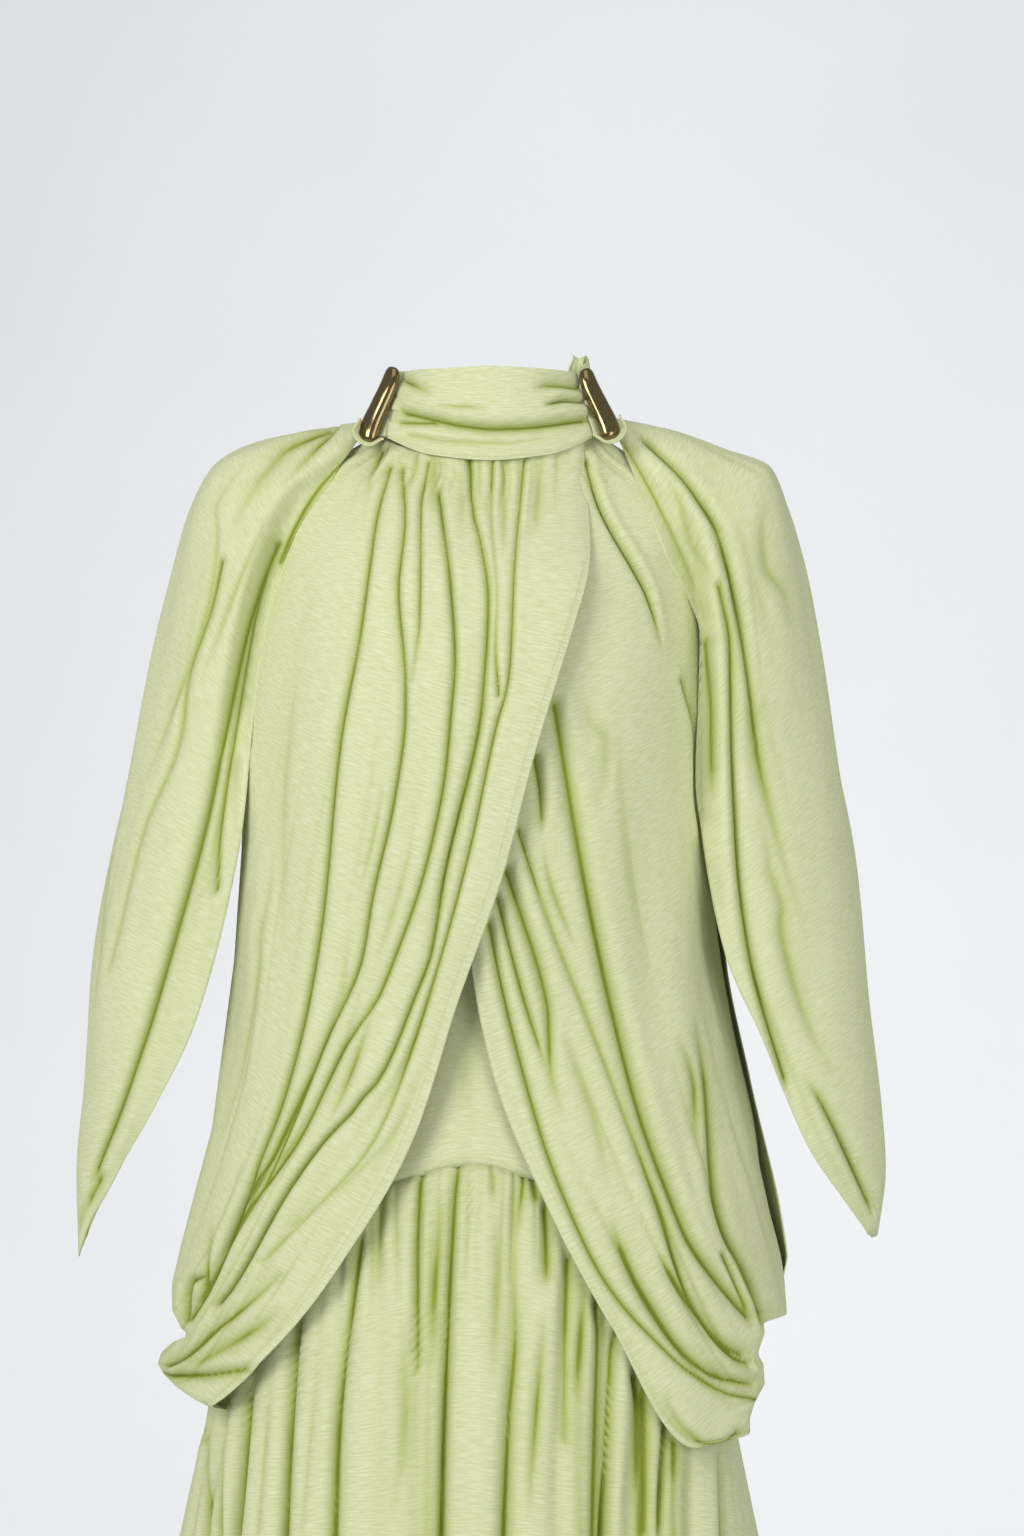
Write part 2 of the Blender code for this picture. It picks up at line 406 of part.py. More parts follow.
def cloth_shell(name, shape, rows, folds, per_fold, rows_along, side, thickness, collection):
    """A flat grid is bent onto its form and then given its thickness."""
    columns = (len(folds) + 1) * per_fold
    grid = bmesh.new()
    bmesh.ops.create_grid(grid, x_segments=columns, y_segments=rows_along, size=0.5)
    u = np.array([vertex.co.x + 0.5 for vertex in grid.verts])
    v = np.array([vertex.co.y + 0.5 for vertex in grid.verts])
    points = shell_points(shape, rows, folds, u, v, side)
    for vertex, point in zip(grid.verts, points):
        vertex.co = Vector(point.tolist())
    piece = keep(name, grid, collection, surface(name + "_cloth", (0.62, 0.66, 0.36, 1.0), 0.0, 0.75))
    solid = piece.modifiers.new("thickness", "SOLIDIFY")
    solid.thickness = thickness
    solid.offset = 0.0
    solid.use_even_offset = False
    solid.use_quality_normals = True
    return piece


def bar(name, foot, head, face_turn, collection):
    """A round-ended bar with a slightly drawn-in middle, made from a ball."""
    ball = bmesh.new()
    bmesh.ops.create_uvsphere(ball, u_segments=16, v_segments=12, radius=1.0)
    axis = head - foot
    half_length = axis.length / 2
    up = axis.normalized()
    out = Vector((math.sin(math.radians(face_turn)), -math.cos(math.radians(face_turn)), 0))
    out = (out - up * out.dot(up)).normalized()
    across = out.cross(up)
    frame = Matrix((across, out, up)).transposed()
    middle = (foot + head) / 2
    for vertex in ball.verts:
        height = vertex.co.z
        ring = math.sqrt(max(0.0, 1 - height * height))
        stretch = height / max(abs(height), 1e-6) * abs(height) ** 0.7 if height else 0.0
        blunt = ring ** 0.55 / ring if ring > 1e-6 else 0.0
        narrow = 1 - BAR_WAIST * (1 - height * height)
        local = Vector((
            vertex.co.x * blunt * narrow * BAR_WIDTH / 2,
            vertex.co.y * blunt * BAR_THICKNESS / 2,
            stretch * half_length,
        ))
        vertex.co = middle + frame @ local
    bmesh.ops.recalc_face_normals(ball, faces=ball.faces)
    return keep(name, ball, collection, surface(name + "_metal", (0.72, 0.66, 0.48, 1.0), 1.0, 0.2))


clear_scene()
dress = bpy.data.collections.new("draped_maxi_dress")
bpy.context.scene.collection.children.link(dress)
for name, rows, folds, per_fold, rows_along, side, thickness in WRAPPED:
    cloth_shell(name, wrapped, rows, folds, per_fold, rows_along, side, thickness, dress)
for name, rows, folds, per_fold, rows_along, side, thickness in SLEEVES:
    cloth_shell(name, sleeved, rows, folds, per_fold, rows_along, side, thickness, dress)
for name, foot_x, foot_y, foot_drop, head_x, head_y, head_drop, face_turn in BARS:
    foot = Vector((foot_x * MM, foot_y * MM, -foot_drop * MM))
    head = Vector((head_x * MM, head_y * MM, -head_drop * MM))
    bar(name, foot, head, face_turn, dress)
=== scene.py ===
# %% [markdown]
# # A draped high-neck maxi dress
# The dress is cut from thin viscose jersey. A ruched stand collar carries two crossed front drapes, a back
# panel and two cape sleeves. Under them lie a fitted bodice and a full gathered skirt.
# Cloth this soft is all folds, so each piece here is one fine grid that is bent onto the form of its plain
# solid, and its folds are then pressed in from short tables. A cloth simulation could find folds by itself,
# but not these ones: the gathers, the crossing and the swags at the hips have known places.

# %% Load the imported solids
import math

import bmesh
import bpy
import numpy as np
from mathutils import Matrix
from mathutils import Vector


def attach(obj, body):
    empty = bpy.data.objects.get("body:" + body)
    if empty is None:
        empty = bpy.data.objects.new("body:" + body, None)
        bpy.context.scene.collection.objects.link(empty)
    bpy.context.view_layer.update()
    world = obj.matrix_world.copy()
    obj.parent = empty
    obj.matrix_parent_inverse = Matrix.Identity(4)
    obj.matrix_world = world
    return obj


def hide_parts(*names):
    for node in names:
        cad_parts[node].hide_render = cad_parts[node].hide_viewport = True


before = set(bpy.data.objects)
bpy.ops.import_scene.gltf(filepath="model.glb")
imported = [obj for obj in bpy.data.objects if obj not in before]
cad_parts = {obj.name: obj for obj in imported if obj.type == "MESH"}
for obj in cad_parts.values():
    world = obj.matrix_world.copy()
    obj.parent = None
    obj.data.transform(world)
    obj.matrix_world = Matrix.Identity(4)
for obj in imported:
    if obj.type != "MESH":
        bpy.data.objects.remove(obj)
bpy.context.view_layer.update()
MM = 0.001
print("solids:", ", ".join(sorted(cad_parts)))

# %% [markdown]
# ## Colour and small tools
# Colours are picked as sRGB hex values, the way a dye card or a colour picker gives them. The shader works in
# linear light, so one function turns one into the other. Another adds one node with its settings and links,
# which keeps each material short enough to read.

# %% Colour and node helpers
def linear(hex_colour):
    """An sRGB hex colour as the linear colour a shader needs."""
    parts = [int(hex_colour[k:k + 2], 16) / 255 for k in (1, 3, 5)]
    return tuple(c / 12.92 if c <= 0.04045 else ((c + 0.055) / 1.055) ** 2.4 for c in parts) + (1.0,)


def add_node(tree, kind, settings=None, values=None, links=None):
    """Add one node. links maps an input of it to an output of another node."""
    node = tree.nodes.new(kind)
    for key, value in (settings or {}).items():
        setattr(node, key, value)
    for key, value in (values or {}).items():
        node.inputs[key].default_value = value
    for key, source in (links or {}).items():
        tree.links.new(source, node.inputs[key])
    return node


def empty_material(name):
    """A new material with a Principled shader and nothing else. Returns material, tree and shader."""
    material = bpy.data.materials.new(name)
    material.use_nodes = True
    return material, material.node_tree, material.node_tree.nodes["Principled BSDF"]


def placed(name, data):
    """A new object in the scene."""
    thing = bpy.data.objects.new(name, data)
    bpy.context.scene.collection.objects.link(thing)
    return thing


print("a mid cloth green in linear light:", [round(c, 3) for c in linear("#d2d9a4")])

# %% [markdown]
# ## The jersey
# Viscose jersey is a fine weft knit, dyed pistachio green, with a soft low sheen. Its yarn is uneven, so
# short thick places, called slubs, run along the courses and show as faint level streaks. Where the cloth
# folds in on itself, light bounces from green to green and comes out deeper and yellower, and that shade is
# painted into the colour.
# The pattern reads the piece's own UV map, laid out in metres along and across the cloth, so a slub keeps its
# real size. The fold depth is stored on the points as "crease", and the material paints it as shade, deeper
# and yellower, in the troughs.

# %% Jersey material
CLOTH_LIGHT = linear("#e3e6bf")
CLOTH_MID = linear("#d2d8a2")
# Painted shade: the colour the cloth is given in its folds, and at the bottom of the deepest ones.
CLOTH_CREASE_SHADE = linear("#9dab38")
CLOTH_CREASE_BOTTOM_SHADE = linear("#6f7c1c")
SLUB_LENGTH = 9 * MM
SLUB_HEIGHT = 1.1 * MM
KNIT_COURSE = 1.6 * MM  # a real course is 0.5 mm, too fine to show, so it is drawn three times as coarse


def viscose_jersey(name):
    """Pistachio viscose jersey with slubs, a knit bump and painted shade, deeper and yellower, in its folds.
    """
    material, tree, shader = empty_material(name)
    cloth_map = add_node(tree, "ShaderNodeUVMap", {"uv_map": "cloth"})
    slub_size = (1 / SLUB_LENGTH, 1 / SLUB_HEIGHT, 1.0)
    slub_place = add_node(tree, "ShaderNodeMapping", values={"Scale": slub_size},
                          links={"Vector": cloth_map.outputs["UV"]})
    slub = add_node(tree, "ShaderNodeTexNoise", values={"Scale": 1.0, "Detail": 3.0, "Roughness": 0.55},
                    links={"Vector": slub_place.outputs["Vector"]})
    cloud = add_node(tree, "ShaderNodeTexNoise", values={"Scale": 9.0, "Detail": 2.0},
                     links={"Vector": cloth_map.outputs["UV"]})
    yarn = add_node(tree, "ShaderNodeMapRange", values={"From Min": 0.38, "From Max": 0.64},
                    links={"Value": slub.outputs["Fac"]})
    tone = add_node(tree, "ShaderNodeMix", {"data_type": "RGBA"}, {"A": CLOTH_MID, "B": CLOTH_LIGHT},
                    {"Factor": yarn.outputs["Result"]})
    patch = add_node(tree, "ShaderNodeMapRange", values={"From Min": 0.3, "From Max": 0.7, "To Max": 0.18},
                     links={"Value": cloud.outputs["Fac"]})
    faded = add_node(tree, "ShaderNodeMix", {"data_type": "RGBA"}, {"B": CLOTH_LIGHT},
                     {"Factor": patch.outputs["Result"], "A": tone.outputs["Result"]})
    # Painted shade: the "crease" depth turns the colour deeper and yellower in the folds, and darker still at
    # their bottoms.
    crease = add_node(tree, "ShaderNodeAttribute", {"attribute_name": "crease"})
    folded = add_node(tree, "ShaderNodeMix", {"data_type": "RGBA"}, {"B": CLOTH_CREASE_SHADE},
                      {"Factor": crease.outputs["Fac"], "A": faded.outputs["Result"]})
    bottom = add_node(tree, "ShaderNodeMapRange", values={"From Min": 0.72, "From Max": 1.0, "To Max": 0.6},
                      links={"Value": crease.outputs["Fac"]})
    shaded = add_node(tree, "ShaderNodeMix", {"data_type": "RGBA"}, {"B": CLOTH_CREASE_BOTTOM_SHADE},
                      {"Factor": bottom.outputs["Result"], "A": folded.outputs["Result"]})
    tree.links.new(shaded.outputs["Result"], shader.inputs["Base Color"])
    knit_size = (1 / KNIT_COURSE, 1 / KNIT_COURSE, 1.0)
    knit_place = add_node(tree, "ShaderNodeMapping", values={"Scale": knit_size},
                          links={"Vector": cloth_map.outputs["UV"]})
    knit = add_node(tree, "ShaderNodeTexNoise", values={"Scale": 1.0, "Detail": 2.0},
                    links={"Vector": knit_place.outputs["Vector"]})
    relief = add_node(tree, "ShaderNodeMath", {"operation": "MULTIPLY_ADD"}, {1: 0.35},
                      {0: knit.outputs["Fac"], 2: slub.outputs["Fac"]})
    bump = add_node(tree, "ShaderNodeBump", values={"Strength": 0.30, "Distance": 0.25 * MM},
                    links={"Height": relief.outputs["Value"]})
    tree.links.new(bump.outputs["Normal"], shader.inputs["Normal"])
    shader.inputs["Roughness"].default_value = 0.72
    shader.inputs["Specular IOR Level"].default_value = 0.25
    shader.inputs["Sheen Weight"].default_value = 0.22
    shader.inputs["Sheen Roughness"].default_value = 0.45
    shader.inputs["Sheen Tint"].default_value = linear("#eef0d0")
    return material


jersey = viscose_jersey("viscose_jersey")
print("slub streaks are", round(SLUB_LENGTH / MM), "by", round(SLUB_HEIGHT / MM, 1), "mm")

# %% [markdown]
# ## Bending a grid onto the body
# A garment piece is flat cloth until it is worn. Here a flat grid, with one direction across the piece and
# one along it, is laid onto ovals round the body. Each row of a table is one section: the angle, the drop
# below the neck seam and the oval's half width and half depth, at both ends of the section. A smooth curve
# through each column gives all places between two rows. The solids were made from such tables too, so the
# cloth lies where they do.

# %% Sections round the body
SECTION = ("along", "in_turn", "in_drop", "in_wide", "in_deep",
           "out_turn", "out_drop", "out_wide", "out_deep", "centre", "rise")
RISE_POWER = 1.6
PEAK_ROUND = 0.05


def through(stations, values, place):
    """Smooth curve through a column of a table, that never swings past its values."""
    stations = np.asarray(stations, float)
    values = np.asarray(values, float)
    rates = np.diff(values) / np.diff(stations)
    turning = rates[:-1] * rates[1:] <= 0
    both = np.where(turning, 1.0, rates[:-1] + rates[1:])
    middle = np.where(turning, 0.0, 2 * rates[:-1] * rates[1:] / both)
    slopes = np.concatenate([rates[:1], middle, rates[-1:]])
    left = np.clip(np.searchsorted(stations, place, side="right") - 1, 0, len(stations) - 2)
    gap = stations[left + 1] - stations[left]
    t = (place - stations[left]) / gap
    start = (2 * t ** 3 - 3 * t ** 2 + 1) * values[left] + (t ** 3 - 2 * t ** 2 + t) * gap * slopes[left]
    end = (3 * t ** 2 - 2 * t ** 3) * values[left + 1] + (t ** 3 - t ** 2) * gap * slopes[left + 1]
    return start + end


def arched(place):
    """Height of a section's middle over its ends, from -1 at one end to 1 at the other: a round arch."""
    return 1 - np.abs(place) ** RISE_POWER


def peaked(place):
    """The same for a peak with straight sides and a small round tip."""
    tip = math.hypot(1, PEAK_ROUND) - PEAK_ROUND
    return 1 - (np.hypot(place, PEAK_ROUND) - PEAK_ROUND) / tip


def wrapped(rows, across, along, crown=arched):
    """Points of a piece that lies round the body, without its folds."""
    table = np.asarray(rows, float)

    def column(name):
        return through(table[:, 0], table[:, SECTION.index(name)], along)

    def between(name):
        return (1 - across) * column("in_" + name) + across * column("out_" + name)

    turn = np.radians(between("turn"))
    x = column("centre") + between("wide") * np.sin(turn)
    y = -between("deep") * np.cos(turn)
    z = column("rise") * crown(2 * across - 1) - between("drop")
    return np.stack([x, y, z], axis=-1) * MM


def waisted(rows, across, along):
    """Points of a piece that meets the peaked waist seam."""
    return wrapped(rows, across, along, peaked)


print("a peaked seam is at", [round(float(peaked(k)), 2) for k in (0, 0.25, 0.5, 1)], "of its rise")

# %% Sections of a sleeve
REACH = ("along", "front_x", "front_y", "front_drop", "crest_x", "crest_y", "crest_drop",
         "back_x", "back_y", "back_drop")


def sleeved(rows, across, along):
    """Points of a sleeve, without its folds."""
    table = np.asarray(rows, float)
    column = {name: through(table[:, 0], table[:, k], along) for k, name in enumerate(REACH) if k}
    front = np.stack([column["front_x"], column["front_y"], -column["front_drop"]], axis=-1)
    crest = np.stack([column["crest_x"], column["crest_y"], -column["crest_drop"]], axis=-1)
    back = np.stack([column["back_x"], column["back_y"], -column["back_drop"]], axis=-1)
    first = across < 0.5
    edge = np.where(first[..., None], front, back)
    turn = np.where(first, across, 1 - across)[..., None] * math.pi
    corner = np.stack([edge[..., 0], crest[..., 1], edge[..., 2]], axis=-1)
    return (corner + (edge - corner) * np.cos(turn) + (crest - corner) * np.sin(turn)) * MM


# %% [markdown]
# ## Pressing in the folds
# A fold is a trough that runs through the piece. The fold tables say where the big ones lie across a piece at
# five stations along it, how deep they are there, and their half width at both ends.
# A crease is drawn the way it is seen from the front: depth at the start, the middle and the end,
# width on the left and on the right, and a path of places, which are x to the wearer's left and drop below
# the neck seam. All are in mm. The two sides differ, because a real crease has one steep wall, where the
# cloth rolls over, and one slow one. The grid's columns crowd together at creases and folds, so a narrow
# trough stays crisp wherever it turns.
# Last come finer creases, strewn with a fixed seed. They run in the same stream as the big folds.

# %% Fold tools
STATIONS = (0.0, 0.25, 0.5, 0.75, 1.0)
EYE = (15, -3000, -213)
PATH_STEPS = 48


def trough(off, depth, left_width, right_width):
    """How far a crease sinks the cloth beside it, and how far it lifts a ridge over its steeper wall."""
    width = np.where(off < 0, left_width, right_width)
    steep = min(left_width, right_width)
    slow = max(left_width, right_width)
    down = depth * (0.65 / (1 + (off / steep) ** 2) ** 1.4 + 0.35 * np.exp(-(off / (1.6 * width)) ** 2))
    toward = -1.0 if left_width <= right_width else 1.0
    middle = 2.0 * steep + 0.6 * slow
    ridge = 0.30 * depth * np.exp(-((toward * off - middle) / (0.9 * middle)) ** 2)
    return down, ridge


def seen_from_front(points):
    """Where the camera sees each point, as x and drop in mm at the neck seam's distance."""
    scale = -EYE[1] / (points[:, 1] / MM - EYE[1])
    x = EYE[0] + (points[:, 0] / MM - EYE[0]) * scale
    drop = -EYE[2] - (points[:, 2] / MM - EYE[2]) * scale
    return x, drop


def smooth_path(path):
    """Even places along a path of a few points."""
    path = np.asarray(path, float)
    run = np.concatenate([[0], np.cumsum(np.hypot(*np.diff(path, axis=0).T))])
    place = np.linspace(0, run[-1], PATH_STEPS)
    return through(run, path[:, 0], place), through(run, path[:, 1], place)


def beside_path(x, drop, path):
    """Signed distance of each place to a path, minus on its left, and how far along the path it is."""
    path_x, path_drop = smooth_path(path)
    near = np.full(x.shape, 1e9)
    off = np.zeros(x.shape)
    part = np.zeros(x.shape)
    for k in range(len(path_x) - 1):
        step = np.array([path_x[k + 1] - path_x[k], path_drop[k + 1] - path_drop[k]])
        length = np.hypot(*step)
        t = np.clip(((x - path_x[k]) * step[0] + (drop - path_drop[k]) * step[1]) / length ** 2, 0, 1)
        gap_x = x - path_x[k] - t * step[0]
        gap_drop = drop - path_drop[k] - t * step[1]
        distance = np.hypot(gap_x, gap_drop)
        closer = distance < near
        near = np.where(closer, distance, near)
        turned = step[0] * gap_drop - step[1] * gap_x
        off = np.where(closer, -np.sign(turned) * distance, off)
        part = np.where(closer, (k + t) / (len(path_x) - 1), part)
    return off, part


def fold_stream(folds, stream, along):
    """Place across the piece of a line between the folds. stream is 0 at the in edge, 1 at the out edge."""
    lines = [np.zeros_like(along)]
    for place, depth, half_width in folds:
        lines.append(through(STATIONS, place, along))
    lines.append(np.ones_like(along))
    lines = np.stack(lines)
    step = np.clip(stream * (len(lines) - 1), 0, len(lines) - 1 - 1e-9)
    left = np.floor(step).astype(int)
    part = step - left
    pick = np.arange(along.size)
    return lines[left, pick] * (1 - part) + lines[left + 1, pick] * part


def strewn_creases(seed, count, depth, half_width, longest, low=0.02, start=0.0, stop=1.0):
    """Fine creases: each has its place in the stream, its drift, where it starts and ends, and its size."""
    rng = np.random.default_rng(seed)
    creases = []
    for place in np.linspace(low, 0.98, count):
        steep = rng.uniform(0.6, 1.0) * half_width
        slow = steep * rng.uniform(1.2, 2.2)
        flipped = rng.random() < 0.5
        creases.append({
            "stream": float(np.clip(place + rng.normal(0, 0.4 / count), 0.005, 0.995)),
            "drift": rng.normal(0, 0.5 / count),
            "middle": rng.uniform(start, stop),
            "half_length": rng.uniform(0.3, 1.0) * longest,
            "depth": rng.uniform(0.2, 1.0) * depth,
            "left_width": slow if flipped else steep,
            "right_width": steep if flipped else slow,
        })
    return creases


# %% [markdown]
# ## One cloth piece
# All steps meet here: lay the grid, find which way is out, work out how far every fold, crease and soft
# ripple moves each point, and move it. Where creases meet, the deepest one wins, because cloth that is
# already folded away sinks no further. The edges curl in a little, as cut jersey does. The result gets a UV
# map in metres, its crease depth as painted shade for the material, and a real thickness.

# %% Make a cloth piece
MEASURES = 65
COLUMN_SAMPLES = 361
COLUMN_CROWD = 3.5
RIPPLE_WAVES = (0.085, 0.061, 0.047, 0.035, 0.027)
RIPPLE_PHASES = (0.7, 2.1, 4.4, 5.3, 1.2)
TUCK_SOFTNESS = 2.0


def measured(shape, rows):
    """Length across the piece at even places along it, and length along it at its middle."""
    ends = np.linspace(0, 1, MEASURES)
    across_length = []
    for level in ends:
        line = shape(rows, ends, np.full(MEASURES, level))
        across_length.append(np.linalg.norm(np.diff(line, axis=0), axis=1).sum())
    line = shape(rows, np.full(MEASURES, 0.5), ends)
    along_step = np.linalg.norm(np.diff(line, axis=0), axis=1)
    return ends, np.array(across_length), np.concatenate([[0], np.cumsum(along_step)])


def cloth_points(shape, rows, folds, creases, strewn, across, along, side, curl, ripple, press):
    """Where each grid point of a piece lies, its UV place in metres, and how much painted shade its fold
    depth gives it.
    """
    ends, across_length, along_length = measured(shape, rows)
    length = np.interp(along, ends, across_length)
    u_metres = (across - 0.5) * length
    v_metres = np.interp(along, ends, along_length)
    small = 2e-3
    left = shape(rows, np.clip(across - small, 0, 1), along)
    right = shape(rows, np.clip(across + small, 0, 1), along)
    above = shape(rows, across, np.clip(along - small, 0, 1))
    below = shape(rows, across, np.clip(along + small, 0, 1))
    out = np.cross(right - left, above - below)
    out = side * out / np.linalg.norm(out, axis=1, keepdims=True)
    flat = shape(rows, across, along)
    height = np.zeros_like(across)
    crease_shade = np.zeros_like(across)
    for place, depth, half_width in folds if press else []:
        off = (across - through(STATIONS, place, along)) * length
        reach = (half_width[0] * (1 - along) + half_width[1] * along) * MM
        deep = through(STATIONS, depth, along) * MM * press
        height -= deep / (1 + (off / reach) ** 2) ** 1.5
        # Painted shade: the deeper and nearer a fold, the more shade is painted on the point.
        crease_shade += 0.5 * np.clip(deep / (14 * MM), 0, 1) / (1 + (off / (0.6 * reach)) ** 2) ** 1.5
    x, drop = seen_from_front(flat)
    facing = np.clip(-out[:, 1], 0.3, 1)
    shown = np.clip((-out[:, 1] + 0.05) / 0.3, 0, 1)
    sinks = np.zeros_like(across)
    lifts = np.zeros_like(across)
    dark = np.zeros_like(across)
    for start, middle, end, left_width, right_width, path in creases:
        off, part = beside_path(x, drop, path)
        off = off / facing
        deep = through((0, 0.5, 1), (start, middle, end), part) * shown
        sink, lift = trough(off, deep, left_width, right_width)
        sinks = np.maximum(sinks, sink)
        lifts = np.maximum(lifts, lift)
        # Painted shade along each crease: a narrow dark line at its bottom and a wider soft band beside it.
        width = np.where(off < 0, left_width, right_width)
        steep = min(left_width, right_width)
        valley = 0.68 / (1 + (off / (0.8 * steep)) ** 2) ** 1.5
        valley = valley + 0.34 * np.exp(-(off / (1.6 * width)) ** 2)
        dark = np.maximum(dark, np.clip(deep / 3.4, 0, 1) * valley)
    height += (lifts - sinks) * MM
    crease_shade += dark
    for crease in strewn:
        stream = np.clip(crease["stream"] + crease["drift"] * (along - crease["middle"]), 0.003, 0.997)
        off = (across - fold_stream(folds, stream, along)) * length / MM
        fade = np.clip(1 - np.abs(along - crease["middle"]) / crease["half_length"], 0, 1)
        deep = crease["depth"] * fade * fade * (3 - 2 * fade)
        sink, lift = trough(off, deep, crease["left_width"], crease["right_width"])
        height += (lift - sink) * MM
        # Painted shade in the fine creases too.
        valley = 0.8 * min(crease["left_width"], crease["right_width"])
        crease_shade += 0.25 * deep / (1 + (off / valley) ** 2) ** 1.5
    for k, wave in enumerate(RIPPLE_WAVES):
        turns = u_metres / wave + v_metres / (0.19 + 0.05 * k)
        height += ripple * MM / (k + 1.4) * np.sin(2 * math.pi * turns + RIPPLE_PHASES[k])
    for (depths, width), distance in zip(curl, (across * length, (1 - across) * length)):
        height -= through(STATIONS, depths, along) * MM * np.exp(-(distance / (width * MM)) ** 2)
    return flat + out * height[:, None], u_metres, v_metres, np.clip(crease_shade, 0, 1), out


def crowded_columns(shape, rows, folds, creases, columns, lines, press):
    """Places of the grid's columns on every row. They crowd together at creases, folds and edges."""
    sample = np.linspace(0, 1, COLUMN_SAMPLES)
    across, along = (grid.ravel() for grid in np.meshgrid(sample, np.linspace(0, 1, lines + 1)))
    ends, across_length, along_length = measured(shape, rows)
    length = np.interp(along, ends, across_length) / MM
    x, drop = seen_from_front(shape(rows, across, along))
    need = 0.6 * np.exp(-(np.minimum(across, 1 - across) * length / 6) ** 2)
    for start, middle, end, left_width, right_width, path in creases:
        off, part = beside_path(x, drop, path)
        need = np.maximum(need, np.exp(-(off / (2.0 * min(left_width, right_width) + 1.5)) ** 2))
    for place, depth, half_width in folds if press else []:
        off = (across - through(STATIONS, place, along)) * length
        reach = half_width[0] * (1 - along) + half_width[1] * along
        need = np.maximum(need, 0.8 * np.exp(-(off / (1.2 * reach)) ** 2))
    need = need.reshape(lines + 1, COLUMN_SAMPLES)
    padded = np.pad(need, ((4, 4), (0, 0)), mode="edge")
    need = sum(padded[k:k + lines + 1] for k in range(9)) / 9
    crowd = 1 + COLUMN_CROWD * need
    share = np.cumsum(crowd[:, 1:] + crowd[:, :-1], axis=1)
    share = np.concatenate([np.zeros((lines + 1, 1)), share], axis=1)
    even = np.linspace(0, 1, columns + 1)
    return np.stack([np.interp(even, row / row[-1], sample) for row in share]).ravel()


def tucked(points, side, limits):
    """Cloth that would pass a side limit, seen from the front, turns back behind it. limits: (drop, x)."""
    x, drop = seen_from_front(points)
    table = np.asarray(limits, float)
    limit = np.interp(drop, table[:, 0], table[:, 1])
    beyond = side * (x - limit)
    inside = drop > table[0, 0]
    over = TUCK_SOFTNESS * np.log1p(np.exp(np.clip(beyond / TUCK_SOFTNESS, -30, 30)))
    over = np.where(inside, over, 0)
    moved = points.copy()
    moved[:, 0] -= side * 1.3 * over * MM
    moved[:, 1] += 0.4 * over * MM
    return moved


FLAT_EDGE = ((0, 0, 0, 0, 0), 4)
SOFT_EDGE = ((1, 1, 1, 1, 1), 4)
SEWN_EDGE = ((1.4, 1.4, 1.4, 1.4, 1.4), 2.5)


def cloth_object(name, points, faces, cloth_map, crease_shade, thickness):
    """A smooth cloth object with a UV map in metres, its painted crease shade and a thickness in mm."""
    mesh = bpy.data.meshes.new(name)
    mesh.from_pydata(points.tolist(), [], faces.tolist())
    layer = mesh.uv_layers.new(name="cloth")
    loop_point = np.zeros(len(mesh.loops), int)
    mesh.loops.foreach_get("vertex_index", loop_point)
    layer.data.foreach_set("uv", cloth_map[loop_point].ravel())
    # The "crease" attribute carries the painted shade that the jersey material lays into the folds.
    crease_shade_store = mesh.attributes.new("crease", "FLOAT", "POINT")
    crease_shade_store.data.foreach_set("value", crease_shade)
    mesh.polygons.foreach_set("use_smooth", np.ones(len(mesh.polygons), bool))
    mesh.materials.append(jersey)
    piece = placed(name, mesh)
    wall = piece.modifiers.new("thickness", "SOLIDIFY")
    wall.thickness = thickness * MM
    wall.offset = 0.0
    return piece


def cloth_piece(name, shape, rows, folds, creases, strewn, columns, lines, ripple, side=1, thickness=0.9,
                curl=(FLAT_EDGE, FLAT_EDGE), press=0.0, warp=None, turned=False):
    """Build one cloth object on its solid's form."""
    along = np.repeat(np.linspace(0, 1, lines + 1), columns + 1)
    across = crowded_columns(shape, rows, folds, creases, columns, lines, press)

    def laid(across, along):
        points, u_metres, v_metres, crease_shade, out = cloth_points(
            shape, rows, folds, creases, strewn, across, along, side, curl, ripple, press)
        if warp is not None:
            points = warp(points, across, along, out)
        return points, u_metres, v_metres, crease_shade, out

    surfaces[name] = laid
    points, u_metres, v_metres, crease_shade, out = laid(across, along)
    corner = (np.arange(lines)[:, None] * (columns + 1) + np.arange(columns)[None, :]).ravel()
    step = [0, 1, columns + 2, columns + 1]
    if side > 0:
        step = step[::-1]
    faces = np.stack([corner + k for k in step], axis=1)
    cloth_map = np.stack([v_metres, u_metres] if turned else [u_metres, v_metres], axis=1)
    piece = cloth_object(name, points, faces, cloth_map, crease_shade, thickness)
    area = sum(face.area for face in piece.data.polygons)
    print(f"{name}: {len(faces)} faces, {area:.3f} m2 of cloth with its folds")
    return piece


made = {}
surfaces = {}

# %% [markdown]
# ## Bodice
# The bodice is the fitted layer under the drapes. Only a triangle of it shows, between the crossing and the
# peaked waist seam. It is nearly smooth, with a few soft drags where the seam pulls on it.

# %% Bodice sections
BODICE_FRONT = [
    (0.00, -58, -1, 77.6, 54.8, 58, -1, 77.6, 54.8, 0, -5),
    (0.05, -56, 20, 83, 58.6, 56, 20, 83, 58.6, 0, -7),
    (0.12, -54, 46, 98, 68, 54, 46, 98, 68, 0, -8),
    (0.24, -58, 96, 120, 89, 58, 96, 120, 89, 0, -6),
    (0.34, -76, 142, 132, 99, 76, 142, 132, 99, 0, -3),
    (0.40, -89.88, 165, 136, 103, 89.88, 165, 136, 103, 0, 0),
    (0.52, -89.88, 228, 136, 103, 89.88, 228, 136, 103, -2, 3),
    (0.66, -89.88, 310, 124, 95, 89.88, 310, 124, 95, -5, 12),
    (0.80, -89.88, 392, 120, 90, 89.88, 392, 120, 90, -8, 28),
    (0.91, -89.88, 470, 140, 97, 89.88, 470, 140, 97, -11, 48),
    (1.00, -89.88, 543, 157, 105, 89.88, 543, 157, 105, -13, 69),
]
